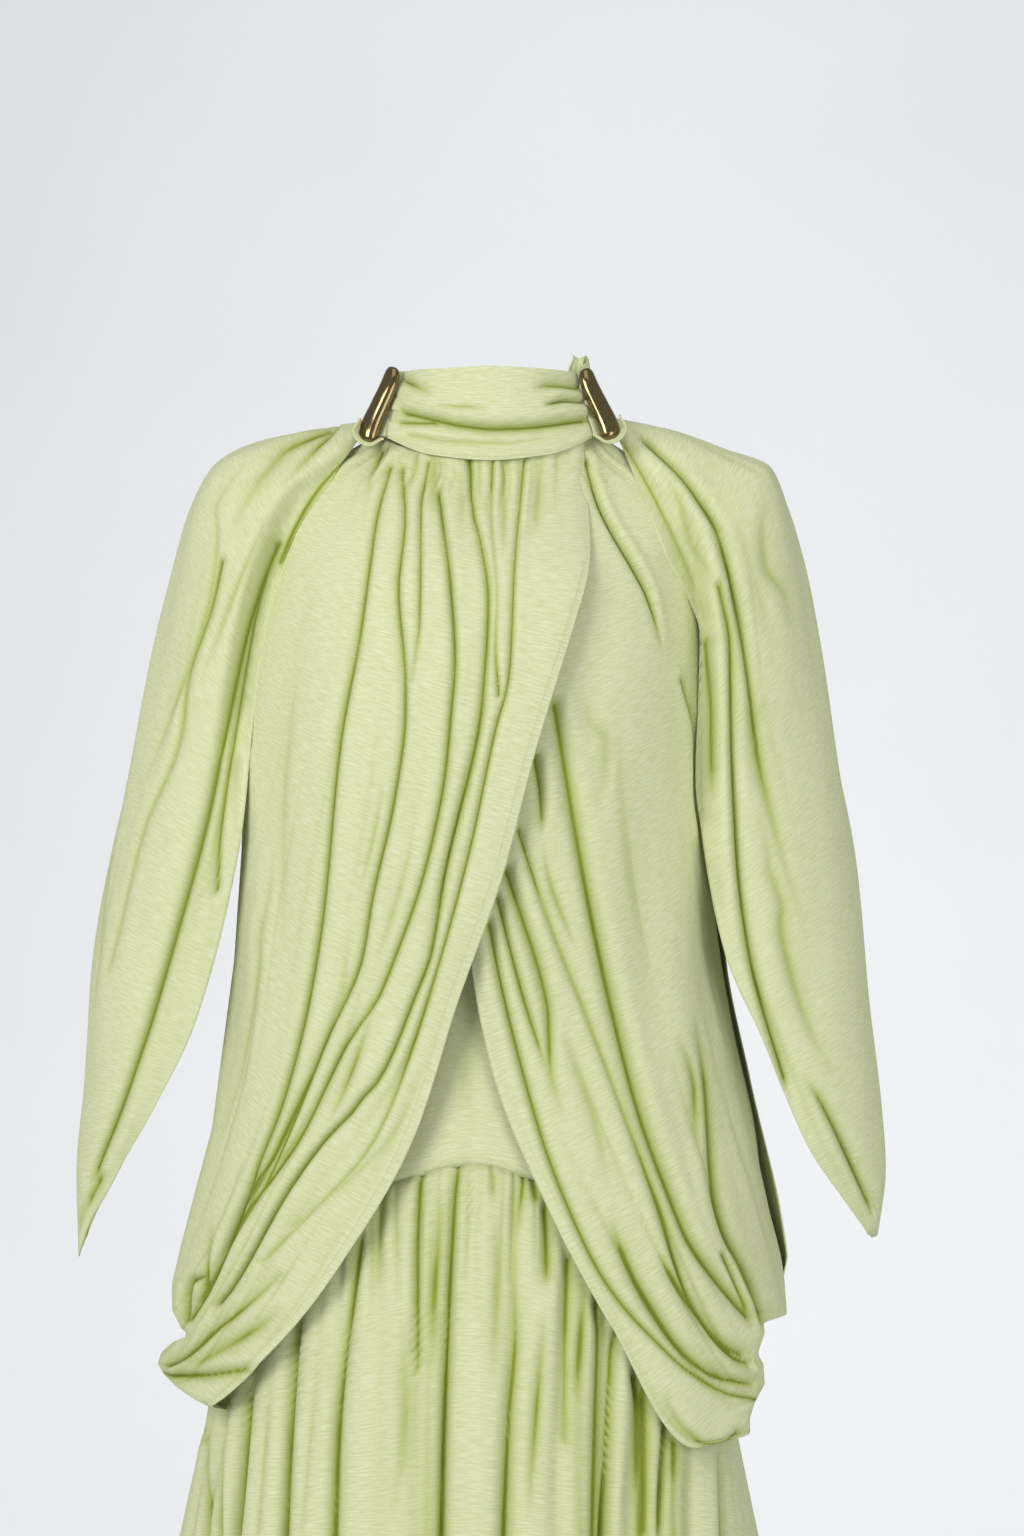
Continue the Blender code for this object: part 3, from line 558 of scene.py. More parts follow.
BODICE_BACK = [
    (0.00, 122, -8, 78, 52, 238, -8, 78, 52, 0, 2),
    (0.12, 124, 40, 108, 66, 236, 40, 108, 66, 0, 2),
    (0.24, 118, 92, 126, 80, 242, 92, 126, 80, 0, 2),
    (0.34, 102, 140, 134, 88, 258, 140, 134, 88, 0, 1),
    (0.40, 90.12, 165, 136, 90, 269.88, 165, 136, 90, 0, 0),
    (0.52, 90.12, 228, 136, 90, 269.88, 228, 136, 90, -2, 0),
    (0.66, 90.12, 310, 124, 82, 269.88, 310, 124, 82, -5, 4),
    (0.80, 90.12, 392, 120, 79, 269.88, 392, 120, 79, -8, 8),
    (0.91, 90.12, 470, 140, 92, 269.88, 470, 140, 92, -11, 13),
    (1.00, 90.12, 543, 157, 104, 269.88, 543, 157, 104, -13, 18),
]

# %% Turn the hem in
def hem_turned_in(points, across, along, out):
    """The lower edge turns in towards the body, where the skirt is sewn on."""
    near = np.clip((along - 0.985) / 0.015, 0, 1)
    return points - out * (3.2 * near ** 2)[:, None] * MM


# %% Make the bodice
BODICE_FRONT_CREASES = [
    (0, 0.8, 0, 8, 8, [(-14, 378), (-16, 425), (-14, 466)]),
]
made["bodice_front"] = cloth_piece("bodice_front_cloth", waisted, BODICE_FRONT, [], BODICE_FRONT_CREASES,
                                   strewn_creases(11, 10, 0.5, 5.0, longest=0.25, start=0.6), 90, 110,
                                   ripple=0.4, warp=hem_turned_in)
made["bodice_back"] = cloth_piece("bodice_back_cloth", wrapped, BODICE_BACK, [], [],
                                  strewn_creases(12, 12, 0.6, 6.0, longest=0.3), 70, 60, ripple=0.5,
                                  warp=hem_turned_in)

# %% [markdown]
# ## Skirt
# The skirt is a wide piece drawn up into the peaked seam by gathers. At the seam they are many and shallow.
# Lower down some die out and the others grow into long rolling folds.

# %% Skirt sections
SKIRT_FRONT = [
    (0.00, -89.88, 541, 154, 102, 89.88, 541, 154, 102, -13, 69),
    (0.08, -89.88, 614, 170, 114, 89.88, 614, 170, 114, -13, 60),
    (0.20, -89.88, 719, 192, 129, 89.88, 719, 192, 129, -14, 42),
    (0.40, -89.88, 892, 229, 154, 89.88, 892, 229, 154, -14, 20),
    (0.60, -89.88, 1066, 266, 179, 89.88, 1066, 266, 179, -14, 8),
    (0.80, -89.88, 1239, 301, 202, 89.88, 1239, 301, 202, -14, 2),
    (1.00, -89.88, 1413, 333, 224, 89.88, 1413, 333, 224, -14, 0),
]
SKIRT_BACK = [
    (0.00, 90.12, 541, 154, 101, 269.88, 541, 154, 101, -13, 18),
    (0.08, 90.12, 614, 170, 114, 269.88, 614, 170, 114, -13, 15),
    (0.20, 90.12, 719, 192, 130, 269.88, 719, 192, 130, -14, 10),
    (0.40, 90.12, 892, 229, 155, 269.88, 892, 229, 155, -14, 5),
    (0.60, 90.12, 1066, 266, 179, 269.88, 1066, 266, 179, -14, 2),
    (0.80, 90.12, 1239, 301, 202, 269.88, 1239, 301, 202, -14, 0),
    (1.00, 90.12, 1413, 333, 224, 269.88, 1413, 333, 224, -14, 0),
]

# %% Skirt folds
SKIRT_FRONT_FOLDS = [
    ((0.050, 0.075, 0.069, 0.060, 0.056), (1.4, 5.0, 8.0, 12.0, 16.0), (4, 21)),
    ((0.105, 0.135, 0.130, 0.123, 0.119), (1.6, 6.5, 11.0, 17.0, 22.0), (4, 23)),
    ((0.170, 0.205, 0.198, 0.189, 0.185), (1.6, 8.0, 14.0, 21.0, 28.0), (4, 25)),
    ((0.245, 0.287, 0.276, 0.261, 0.254), (1.8, 7.0, 12.0, 18.0, 24.0), (4, 24)),
    ((0.320, 0.350, 0.339, 0.324, 0.318), (1.8, 8.5, 14.0, 22.0, 29.0), (4, 25)),
    ((0.375, 0.404, 0.396, 0.385, 0.380), (1.6, 4.5, 8.0, 12.0, 16.0), (4, 20)),
    ((0.432, 0.445, 0.443, 0.440, 0.438), (2.2, 5.0, 10.0, 15.0, 20.0), (4, 21)),
    ((0.485, 0.471, 0.479, 0.489, 0.493), (2.4, 12.0, 20.0, 31.0, 42.0), (4, 28)),
    ((0.560, 0.539, 0.546, 0.554, 0.558), (2.0, 8.0, 15.0, 24.0, 32.0), (4, 27)),
    ((0.630, 0.597, 0.605, 0.616, 0.621), (2.0, 6.0, 11.0, 17.0, 22.0), (4, 24)),
    ((0.700, 0.651, 0.662, 0.676, 0.683), (2.2, 11.0, 19.0, 29.0, 38.0), (4, 27)),
    ((0.765, 0.684, 0.703, 0.728, 0.739), (1.6, 6.0, 11.0, 17.0, 22.0), (4, 22)),
    ((0.830, 0.728, 0.751, 0.784, 0.798), (1.8, 7.0, 12.0, 18.0, 24.0), (4, 23)),
    ((0.895, 0.775, 0.803, 0.841, 0.858), (1.6, 6.0, 11.0, 17.0, 23.0), (4, 23)),
    ((0.955, 0.850, 0.875, 0.910, 0.925), (1.6, 6.0, 10.0, 16.0, 20.0), (4, 22)),
]
SKIRT_BACK_FOLDS = [
    ((0.062, 0.060, 0.055, 0.055, 0.055), (1.6, 6.7, 11.5, 18.0, 24.0), (4, 24)),
    ((0.128, 0.122, 0.120, 0.118, 0.118), (1.8, 9.5, 16.3, 25.5, 34.0), (4, 27)),
    ((0.195, 0.190, 0.184, 0.184, 0.186), (2.0, 6.2, 11.0, 16.5, 22.0), (4, 23)),
    ((0.262, 0.256, 0.252, 0.250, 0.248), (1.8, 11.2, 19.2, 30.0, 40.0), (4, 29)),
    ((0.325, 0.322, 0.318, 0.316, 0.314), (2.0, 6.0, 10.0, 15.0, 20.0), (4, 23)),
    ((0.384, 0.380, 0.378, 0.376, 0.378), (1.8, 10.1, 17.3, 27.0, 36.0), (4, 27)),
    ((0.442, 0.440, 0.440, 0.440, 0.438), (2.2, 6.7, 11.5, 18.0, 24.0), (4, 24)),
    ((0.502, 0.502, 0.502, 0.504, 0.504), (1.8, 11.8, 20.2, 31.5, 42.0), (4, 29)),
    ((0.560, 0.562, 0.564, 0.566, 0.568), (2.0, 7.3, 12.5, 19.5, 26.0), (4, 24)),
    ((0.620, 0.624, 0.630, 0.632, 0.630), (1.8, 9.5, 16.3, 25.5, 34.0), (4, 27)),
    ((0.684, 0.690, 0.694, 0.698, 0.698), (2.0, 7.0, 11.0, 16.5, 22.0), (4, 23)),
    ((0.748, 0.754, 0.760, 0.762, 0.764), (1.8, 11.2, 19.2, 30.0, 40.0), (4, 29)),
    ((0.812, 0.820, 0.824, 0.826, 0.826), (2.0, 6.7, 11.5, 18.0, 24.0), (4, 24)),
    ((0.876, 0.884, 0.886, 0.886, 0.888), (1.8, 9.0, 15.4, 24.0, 32.0), (4, 26)),
    ((0.940, 0.944, 0.946, 0.946, 0.948), (1.6, 6.7, 11.5, 18.0, 24.0), (4, 24)),
]

# %% Skirt creases
SKIRT_FRONT_CREASES = [
    (3.7, 6.6, 7.3, 2.6, 2.4, [(-21, 484), (-24, 510), (-32, 654), (-34, 738), (-41, 915)]),
    (3.6, 5.4, 2.4, 2.4, 2.4, [(-47, 492), (-50, 550), (-50, 624)]),
    (-1.5, -2.5, -2, 2, 2, [(-61, 498), (-62, 537), (-64, 595), (-68, 654), (-72, 735), (-82, 881)]),
    (2.6, 2, 0, 3.8, 3.6, [(-70, 500), (-75, 533), (-78, 575)]),
    (0, 5.4, 5.7, 2.7, 4, [(20, 507), (17, 548), (18, 597), (14, 654), (10, 738), (4, 915)]),
    (1.3, 2.8, 0, 2.4, 3.4, [(0, 482), (3, 510)]),
    (4.7, 2.1, 0, 2.8, 4.7, [(23, 488), (20, 514), (17, 547)]),
    (6.2, 6.2, 0, 5.7, 3.8, [(29, 493), (31, 510)]),
    (7, 6.6, 0, 4.2, 5.2, [(37, 510), (39, 544), (38, 568)]),
    (6, 2.8, 2.2, 3.2, 5.4, [(54, 548), (52, 618), (52, 670)]),
    (4.6, 4, 3.1, 3.4, 5.3, [(74, 571), (73, 580), (75, 596), (74, 654), (72, 738), (69, 915)]),
    (4.5, 7.7, 7, 2.8, 2.4, [(88, 595), (85, 612), (83, 673), (80, 735), (75, 915)]),
    (7, 3.8, 1.2, 3.9, 6.4, [(101, 626), (103, 643), (101, 711)]),
    (6.2, 6.2, 5, 6.7, 3.7, [(107, 637), (108, 673), (108, 735)]),
    (4.4, 6.2, 2, 3.2, 5.1, [(122, 653), (120, 692), (117, 735)]),
    (5.7, 1.8, 2.1, 5, 4.8, [(128, 670), (126, 711), (129, 752)]),
    (3, 3, 3, 3, 3, [(157, 680), (158, 735)]),
    (5.7, 4.6, 6.5, 2.4, 2.4, [(-87, 531), (-106, 665), (-109, 735), (-117, 915)]),
    (6.2, 6.6, 6.6, 3.3, 2.4, [(-131, 590), (-133, 599), (-141, 694), (-143, 735), (-151, 915)]),
    (4, 3.5, 5, 4.1, 2.6, [(-166, 637), (-170, 684), (-175, 735)]),
    (5.9, 6.2, 6.2, 3.3, 2.4, [(-179, 645), (-183, 684), (-185, 735)]),
    (3.8, 1.7, 5.7, 3.2, 3.3, [(-194, 652), (-194, 703), (-195, 735)]),
    (0, 1.3, 1.3, 2.4, 2.4, [(-146, 609), (-152, 657), (-159, 735)]),
    (0, 1.1, 0.9, 2.4, 3.8, [(-114, 561), (-115, 586), (-123, 670), (-129, 735)]),
    (0, 2.5, 0, 6.7, 4, [(61, 561), (63, 569), (59, 639), (54, 655)]),
    (0, 3.2, 0, 3.9, 3.4, [(38, 575), (26, 730)]),
    (0, 3, 0, 4.3, 4.5, [(-29, 495), (-31, 503), (-38, 579), (-39, 630)]),
    (0, 2, 0, 4.1, 4, [(3, 506), (5, 548), (3, 624), (5, 641)]),
    (0, 2, 0, 4.6, 6.4, [(-57, 572), (-59, 622), (-58, 639), (-60, 681), (-65, 706), (-67, 731)]),
]

# %% Make the skirt
SKIRT_LENGTH = 870


def rolled_out(points, across, along, out):
    """The gathers puff out just under the seam and hide it."""
    run = along * SKIRT_LENGTH
    puff = 5.5 * (1 - np.exp(-(run / 2.2) ** 2)) * np.exp(-(run / 34) ** 2)
    return points + out * puff[:, None] * MM


skirt_gathers = (strewn_creases(21, 48, 2.4, 2.6, longest=0.12, start=0.0, stop=0.04)
                 + strewn_creases(22, 26, 2.0, 5.0, longest=0.7, start=0.2, stop=0.9))
made["skirt_front"] = cloth_piece("skirt_front_cloth", waisted, SKIRT_FRONT, SKIRT_FRONT_FOLDS,
                                  SKIRT_FRONT_CREASES, skirt_gathers, 310, 145, ripple=0.6, press=1.0,
                                  warp=rolled_out)
back_gathers = (strewn_creases(23, 50, 1.8, 2.0, longest=0.14, start=0.0, stop=0.05)
                + strewn_creases(24, 24, 2.5, 6.0, longest=0.7, start=0.2, stop=0.9))
made["skirt_back"] = cloth_piece("skirt_back_cloth", wrapped, SKIRT_BACK, SKIRT_BACK_FOLDS, [], back_gathers,
                                 220, 66, ripple=0.8, press=1.0, warp=rolled_out)

# %% [markdown]
# ## Front drapes
# Each front drape is gathered into the collar, crosses the bust and is caught up again at the hip, where it
# turns to the back in swags. The wearer's right drape lies over the left one. Its inner edge is left free.

# %% Drape sections
DRAPE_RIGHT = [
    (0.000, 50, -10, 84.0, 61.5, -70, -13, 82.6, 61.2, 0, -17),
    (0.030, 47, 12, 87.5, 64.6, -72, -5, 94, 65, 0, -14),
    (0.065, 36, 46, 114, 85, -74, 10, 124, 76, 0, -10),
    (0.125, 24, 96, 155, 112, -71, 52, 150, 98, 0, -4),
    (0.250, 11, 192, 176, 127, -76, 115, 166, 114, 0, 0),
    (0.375, 2.5, 287, 182, 125, -87, 187, 177, 121, 0, 0),
    (0.500, -7, 372, 184, 120, -95, 259, 181, 120, 0, 0),
    (0.625, -15, 457, 195, 124, -98, 342, 178, 116, 0, 0),
    (0.750, -26, 529, 210, 128, -101, 422, 188, 118, 0, 0),
    (0.875, -41, 597, 220, 128, -108, 502, 206, 120, 0, 0),
    (0.940, -62, 642, 228, 123, -113, 545, 216, 116, 0, 0),
    (1.000, -100, 628, 232, 118, -119, 583, 220, 112, 0, 0),
]
DRAPE_LEFT = [
    (0.000, -24, 3, 80.2, 57.1, 68, -13, 79.9, 57.2, 0, -5),
    (0.030, -20, 24, 85, 61.5, 70, -4, 93, 61, 0, -8),
    (0.065, -15, 52, 108, 76, 73, 14, 118, 70, 0, -6),
    (0.125, -10, 102, 144, 100, 71, 58, 142, 90, 0, -2),
    (0.250, -8, 207, 148, 113, 78, 140, 148, 103, 0, 0),
    (0.375, -6, 307, 152, 110, 89, 219, 148, 110, 0, 0),
    (0.500, 0, 405, 168, 106, 95, 298, 150, 110, 0, 0),
    (0.625, 11.5, 498, 186, 113, 97, 378, 163, 108, 0, 0),
    (0.750, 24, 580, 200, 118, 100, 455, 181, 110, 0, 0),
    (0.875, 42, 662, 206, 118, 107, 535, 199, 112, 0, 0),
    (0.940, 61, 656, 206, 116, 112, 562, 203, 110, 0, 0),
    (1.000, 98, 615, 205, 112, 118, 585, 206, 106, 0, 0),
]

# %% Drape folds
DRAPE_RIGHT_FOLDS = [
    ((0.29, 0.095, 0.055, 0.160, 0.12), (1.6, 3.0, 2.4, 2.0, 2.0), (4, 7)),
    ((0.41, 0.120, 0.080, 0.180, 0.15), (1.4, 2.0, 0.6, 0.4, 1.0), (4, 7)),
    ((0.49, 0.150, 0.105, 0.205, 0.19), (1.6, 3.0, 2.6, 1.0, 1.0), (4, 7)),
    ((0.56, 0.190, 0.145, 0.245, 0.24), (1.8, 4.0, 4.0, 7.0, 6.0), (4, 8)),
    ((0.64, 0.290, 0.200, 0.268, 0.28), (1.4, 1.5, 0.5, 0.5, 1.0), (4, 7)),
    ((0.73, 0.320, 0.245, 0.290, 0.32), (1.8, 4.0, 4.0, 3.0, 3.0), (4, 8)),
    ((0.79, 0.390, 0.290, 0.320, 0.36), (0.8, 1.0, 3.0, 4.0, 2.0), (4, 7)),
    ((0.85, 0.460, 0.370, 0.350, 0.40), (1.6, 4.0, 5.0, 8.0, 7.0), (4, 9)),
    ((0.91, 0.640, 0.580, 0.560, 0.58), (0.6, 1.5, 2.5, 4.0, 4.0), (5, 12)),
    ((0.96, 0.830, 0.790, 0.780, 0.80), (0.6, 1.5, 2.5, 4.0, 4.0), (5, 12)),
]
DRAPE_LEFT_FOLDS = [
    ((0.12, 0.050, 0.065, 0.095, 0.33), (0.4, 1.5, 4.0, 5.0, 5.0), (4, 7)),
    ((0.22, 0.085, 0.110, 0.135, 0.37), (0.8, 1.5, 3.0, 1.0, 1.0), (4, 7)),
    ((0.32, 0.110, 0.150, 0.175, 0.40), (0.8, 2.0, 4.0, 1.5, 1.0), (4, 7)),
    ((0.45, 0.150, 0.245, 0.215, 0.43), (0.8, 2.0, 4.0, 3.0, 2.0), (4, 7)),
    ((0.55, 0.200, 0.285, 0.240, 0.47), (0.8, 2.5, 1.0, 5.0, 5.0), (4, 8)),
    ((0.65, 0.275, 0.325, 0.325, 0.52), (1.0, 4.0, 8.0, 8.0, 6.0), (4, 9)),
    ((0.80, 0.540, 0.490, 0.455, 0.62), (1.0, 1.5, 3.0, 8.0, 6.0), (5, 10)),
    ((0.92, 0.780, 0.760, 0.740, 0.80), (1.0, 1.5, 2.0, 3.0, 3.0), (5, 12)),
]

# %% Drape creases
DRAPE_RIGHT_CREASES = [
    (3.3, 4.4, 6, 2.8, 2.5, [(-68, 8), (-77, 40), (-81, 65), (-89, 122), (-102, 195), (-114, 310),
        (-122, 359), (-131, 400), (-145, 448), (-157, 478), (-182, 548), (-197, 578), (-207, 590)]),
    (4, 4.9, 2.5, 3.3, 2.2, [(-60, 9), (-58, 42), (-63, 91), (-58, 157), (-58, 174), (-65, 231),
        (-81, 303), (-88, 344), (-111, 396), (-152, 495), (-176, 537), (-195, 574)]),
    (3.4, 3.6, 1.6, 2.2, 1.7, [(-42, 5), (-47, 38), (-48, 112), (-53, 154)]),
    (7, 4.4, 3.3, 2.5, 2.3, [(-35, 24), (-27, 89), (-24, 138), (-27, 178), (-31, 219), (-37, 251),
        (-47, 291), (-69, 352), (-75, 367), (-98, 401), (-131, 467), (-173, 527), (-194, 572),
        (-208, 592)]),
    (4.1, 5.6, 5.8, 2.5, 2.3, [(-14, 2), (-12, 35), (-6, 59), (-1, 99), (-5, 165), (-7, 182), (-31, 285),
        (-41, 342), (-50, 365), (-76, 425), (-87, 437), (-97, 450), (-109, 461), (-134, 494), (-180, 571),
        (-186, 578)]),
    (3.4, 1.6, 3.8, 1.9, 1.7, [(2, 4), (1, 37), (5, 96), (4, 129), (6, 163)]),
    (3.3, 3.5, 1.5, 2.4, 1.7, [(24, 2), (17, 76), (14, 142), (12, 158), (5, 182), (-14, 270), (-51, 397),
        (-78, 465), (-126, 520), (-155, 549)]),
    (2.1, 1, 0, 2.3, 1.7, [(-50, 0), (-57, 38)]),
    (0.8, 1.4, 0, 3.8, 3.1, [(-20, 2), (-18, 58)]),
    (1.3, 0.8, 0, 4.8, 2.2, [(-7, 3), (-7, 40), (-5, 58)]),
    (1.8, 1.9, 0, 2.9, 3, [(10, 3), (10, 72)]),
    (1, 2.1, 0, 4.2, 6.1, [(35, 2), (31, 58)]),
    (1.5, 0.5, 0, 3.1, 4.9, [(46, 0), (44, 51)]),
    (4.4, 1.7, 0, 3.5, 2.4, [(-74, -3), (-88, 33)]),
    (1.4, 1.7, 0, 7.4, 5.6, [(-37, 5), (-39, 44)]),
    (0, 3.5, 6.4, 2.9, 3.4, [(-93, 312), (-98, 336), (-99, 361), (-104, 377), (-119, 415), (-143, 467),
        (-150, 481), (-160, 495), (-168, 509), (-186, 555), (-193, 569)]),
    (0, 1.2, 1.3, 5.2, 3.4, [(-46, 412), (-65, 460), (-133, 524)]),
    (0, 1.8, 2.5, 4.3, 3.8, [(-83, 361), (-104, 416), (-115, 438), (-128, 460), (-164, 506), (-173, 520)]),
    (0, 1.2, 0, 7.9, 3.7, [(-129, 126), (-141, 243), (-142, 344)]),
    (4.1, 6.6, 7, 4, 4.1, [(-196, 559), (-204, 562), (-209, 588)]),
    (1, 3.5, 5.8, 4.3, 3, [(-190, 527), (-195, 571), (-203, 588)]),
    (5.6, 3.2, 1.7, 2.9, 3.8, [(-220, 620), (-213, 617), (-206, 612), (-188, 596), (-161, 575),
        (-143, 558)]),
    (1.8, 2.9, 0, 5.4, 5.2, [(-199, 618), (-156, 592), (-138, 577)]),
    (4.4, 7, 2.6, 4.7, 3.7, [(-225, 623), (-217, 626), (-200, 626), (-167, 622)]),
    (0, 3, 0, 3.6, 2.5, [(-78, 376), (-99, 431), (-113, 461)]),
    (0, 1.7, 0, 2.3, 2.5, [(-73, 216), (-76, 241), (-91, 306)]),
    (0, 1.6, 0, 3.1, 3.1, [(-144, 254), (-148, 270), (-148, 278), (-156, 329), (-157, 346), (-169, 420),
        (-180, 462), (-179, 470)]),
    (0, 1.4, 0, 2.3, 2.3, [(-52, 259), (-65, 307), (-80, 354)]),
]
DRAPE_LEFT_CREASES = [
    (7, 4.9, 3, 2.5, 2.7, [(-1, 319), (9, 367), (35, 463), (49, 501), (74, 554), (92, 580), (115, 605),
        (133, 622), (147, 631), (163, 639), (187, 643)]),
    (0, 6.5, 5.3, 3.7, 4.8, [(80, 514), (99, 561), (116, 590), (126, 604), (145, 622), (160, 629)]),
    (1.2, 2.5, 3.3, 3.4, 3, [(120, 643), (129, 658), (141, 669), (148, 673), (156, 673), (163, 671),
        (169, 665)]),
    (5.7, 6.6, 0, 2.7, 2.2, [(5, 302), (23, 369), (41, 426)]),
    (7, 5.2, 0, 3.8, 3.2, [(11, 283), (37, 363), (40, 380), (41, 414), (52, 456)]),
    (5, 4.7, 0, 1.7, 1.9, [(19, 255), (39, 315)]),
    (2.5, 2.5, 7.2, 2.6, 3.4, [(27, 280), (44, 327), (65, 379), (100, 471), (117, 517), (131, 563),
        (147, 592), (169, 615), (176, 618)]),
    (4.2, 7.7, 7.3, 4, 3.9, [(44, 170), (74, 331), (91, 403), (104, 450), (127, 512), (137, 535),
        (151, 555), (177, 587)]),
    (3.8, 4.2, 2.7, 2.5, 2.9, [(158, 544), (176, 584)]),
    (5.5, 6.2, 6.2, 3.6, 5.8, [(172, 552), (186, 584)]),
    (7, 6.2, 0, 3.6, 2.4, [(31, 206), (35, 233), (36, 259)]),
    (0, 6.4, 7.3, 4.4, 4.6, [(139, 377), (148, 435), (154, 501), (160, 526), (179, 563), (186, 588)]),
    (4.5, 6.5, 2.6, 2.8, 3.8, [(127, 606), (146, 622), (153, 627), (178, 632)]),
    (0, 6.2, 5.1, 3.6, 4.9, [(114, 540), (122, 556), (146, 590), (157, 603), (172, 612)]),
    (4.6, 7.3, 0, 2.7, 2, [(66, 4), (73, 29), (101, 81), (108, 96), (119, 137)]),
    (3.2, 5.7, 0, 2.2, 4.1, [(131, 153), (139, 194), (139, 228), (142, 253), (160, 352), (165, 386)]),
    (0, 0.9, 0, 6.1, 7.4, [(84, 153), (90, 246), (103, 337), (109, 396)]),
    (0, 2.5, 0, 2.5, 2.7, [(36, 259), (38, 276), (61, 342)]),
    (0, 1.7, 0, 4.3, 4.1, [(44, 381), (71, 451), (80, 491), (82, 507)]),
    (0, 3, 0, 5.8, 4.3, [(127, 390), (139, 431), (140, 455), (143, 472), (146, 480)]),
    (0, 1.5, 0, 5.5, 7.1, [(63, 156), (69, 181), (79, 195), (78, 220), (74, 236), (80, 243)]),
]

# %% Make the drapes
right_fine = (strewn_creases(31, 40, 1.2, 1.7, longest=0.10, start=0.0, stop=0.04, low=0.04)
              + strewn_creases(32, 16, 0.8, 3.0, longest=0.3, start=0.15, stop=0.6)
              + strewn_creases(33, 18, 1.5, 2.5, longest=0.35, start=0.7, stop=1.0))
left_fine = (strewn_creases(34, 30, 1.2, 1.7, longest=0.10, start=0.0, stop=0.04)
             + strewn_creases(35, 14, 0.8, 3.0, longest=0.3, start=0.2, stop=0.7)
             + strewn_creases(36, 18, 1.5, 2.5, longest=0.35, start=0.7, stop=1.0))
INNER_EDGE = ((1.5, 1.5, 2.5, 2.5, 2), 5)
RIGHT_SIDE = [(200, -168), (269, -170), (344, -175), (458, -190), (514, -205), (561, -218), (582, -217),
              (594, -211), (599, -205), (604, -217), (611, -225), (618, -227), (625, -223), (634, -214),
              (643, -201), (652, -182)]
LEFT_SIDE = [(430, 180), (482, 184), (518, 192), (544, 200), (574, 206), (584, 205), (590, 187), (597, 188),
             (612, 183), (618, 187), (632, 188), (645, 181), (655, 178)]


def right_drape_side(points, across, along, out):
    """The swag's outline at the wearer's right hip: a lobe, a notch and the tip of the lowest band."""
    return tucked(points, -1, RIGHT_SIDE)


def left_drape_side(points, across, along, out):
    """The swag's outline at the wearer's left hip: an outer panel, and the gathers' ends below it."""
    return tucked(points, 1, LEFT_SIDE)


made["drape_left"] = cloth_piece("drape_left_cloth", wrapped, DRAPE_LEFT, DRAPE_LEFT_FOLDS,
                                 DRAPE_LEFT_CREASES, left_fine, 165, 265, ripple=0.6,
                                 curl=(INNER_EDGE, SOFT_EDGE), warp=left_drape_side)
made["drape_right"] = cloth_piece("drape_right_cloth", wrapped, DRAPE_RIGHT, DRAPE_RIGHT_FOLDS,
                                  DRAPE_RIGHT_CREASES, right_fine, 165, 265, side=-1,
                                  curl=(INNER_EDGE, SOFT_EDGE), ripple=0.6, warp=right_drape_side)

# %% [markdown]
# ## Back panel
# The back panel hangs from the collar to the hips like a short cape. It closes the swags behind.

# %% Back panel
DRAPE_BACK = [
    (0.00, 108, -18.1, 83.5, 57.3, 252, -18.1, 83.5, 57.3, 0, 0),
    (0.02, 107, -12, 85.5, 59, 253, -12, 85.5, 59, 0, 0),
    (0.06, 112, 12, 116, 67, 248, 12, 116, 67, 0, -2),
    (0.11, 116, 54, 144, 82, 244, 54, 144, 82, 0, 2),
    (0.22, 113, 125, 160, 98, 247, 125, 160, 98, -4, 2),
    (0.38, 101, 225, 171, 104, 259, 225, 171, 104, -14, 2),
    (0.55, 95, 330, 173, 106, 265, 330, 173, 106, -12, 0),
    (0.70, 94, 425, 189, 112, 266, 425, 189, 112, -10, -3),
    (0.85, 93, 520, 209, 124, 267, 520, 209, 124, -9, -6),
    (1.00, 93, 612, 225, 132, 267, 612, 225, 132, -8, -10),
]
DRAPE_BACK_FOLDS = [
    ((0.10, 0.10, 0.10, 0.10, 0.10), (0.4, 2.0, 3.0, 3.0, 3.0), (6, 12)),
    ((0.21, 0.22, 0.20, 0.20, 0.21), (1.0, 4.0, 6.0, 8.0, 9.0), (6, 14)),
    ((0.32, 0.31, 0.31, 0.30, 0.29), (1.2, 3.0, 4.0, 6.0, 8.0), (6, 14)),
    ((0.43, 0.43, 0.42, 0.42, 0.43), (1.2, 4.0, 6.0, 8.0, 10.0), (6, 14)),
    ((0.56, 0.55, 0.56, 0.57, 0.56), (1.2, 3.0, 4.0, 6.0, 8.0), (6, 14)),
    ((0.67, 0.68, 0.69, 0.69, 0.70), (1.2, 4.0, 6.0, 8.0, 10.0), (6, 14)),
    ((0.79, 0.79, 0.80, 0.81, 0.80), (1.0, 3.0, 5.0, 7.0, 8.0), (6, 14)),
    ((0.90, 0.90, 0.90, 0.90, 0.90), (0.4, 2.0, 3.0, 3.0, 3.0), (6, 12)),
]
BACK_RIGHT = [(200, -162), (269, -164), (344, -169), (458, -184), (514, -197), (561, -204), (590, -199),
              (620, -180), (640, -160)]
BACK_LEFT = [(300, 160), (337, 174), (408, 192), (450, 197), (482, 199), (518, 201), (544, 204), (574, 198),
             (600, 181), (620, 176)]


def back_panel_side(points, across, along, out):
    """The panel stays behind the two front drapes."""
    return tucked(tucked(points, -1, BACK_RIGHT), 1, BACK_LEFT)


made["drape_back"] = cloth_piece("drape_back_cloth", wrapped, DRAPE_BACK, DRAPE_BACK_FOLDS, [],
                                 strewn_creases(41, 34, 1.6, 4.0, longest=0.5), 150, 120,
                                 curl=(SOFT_EDGE, SOFT_EDGE), ripple=0.8, press=1.0, warp=back_panel_side)

# %% [markdown]
# ## Cape sleeves
# A sleeve is one sheet thrown over the shoulder and arm. It is open towards the body, and its hem rises from
# a point at the forearm to the front and back edges.

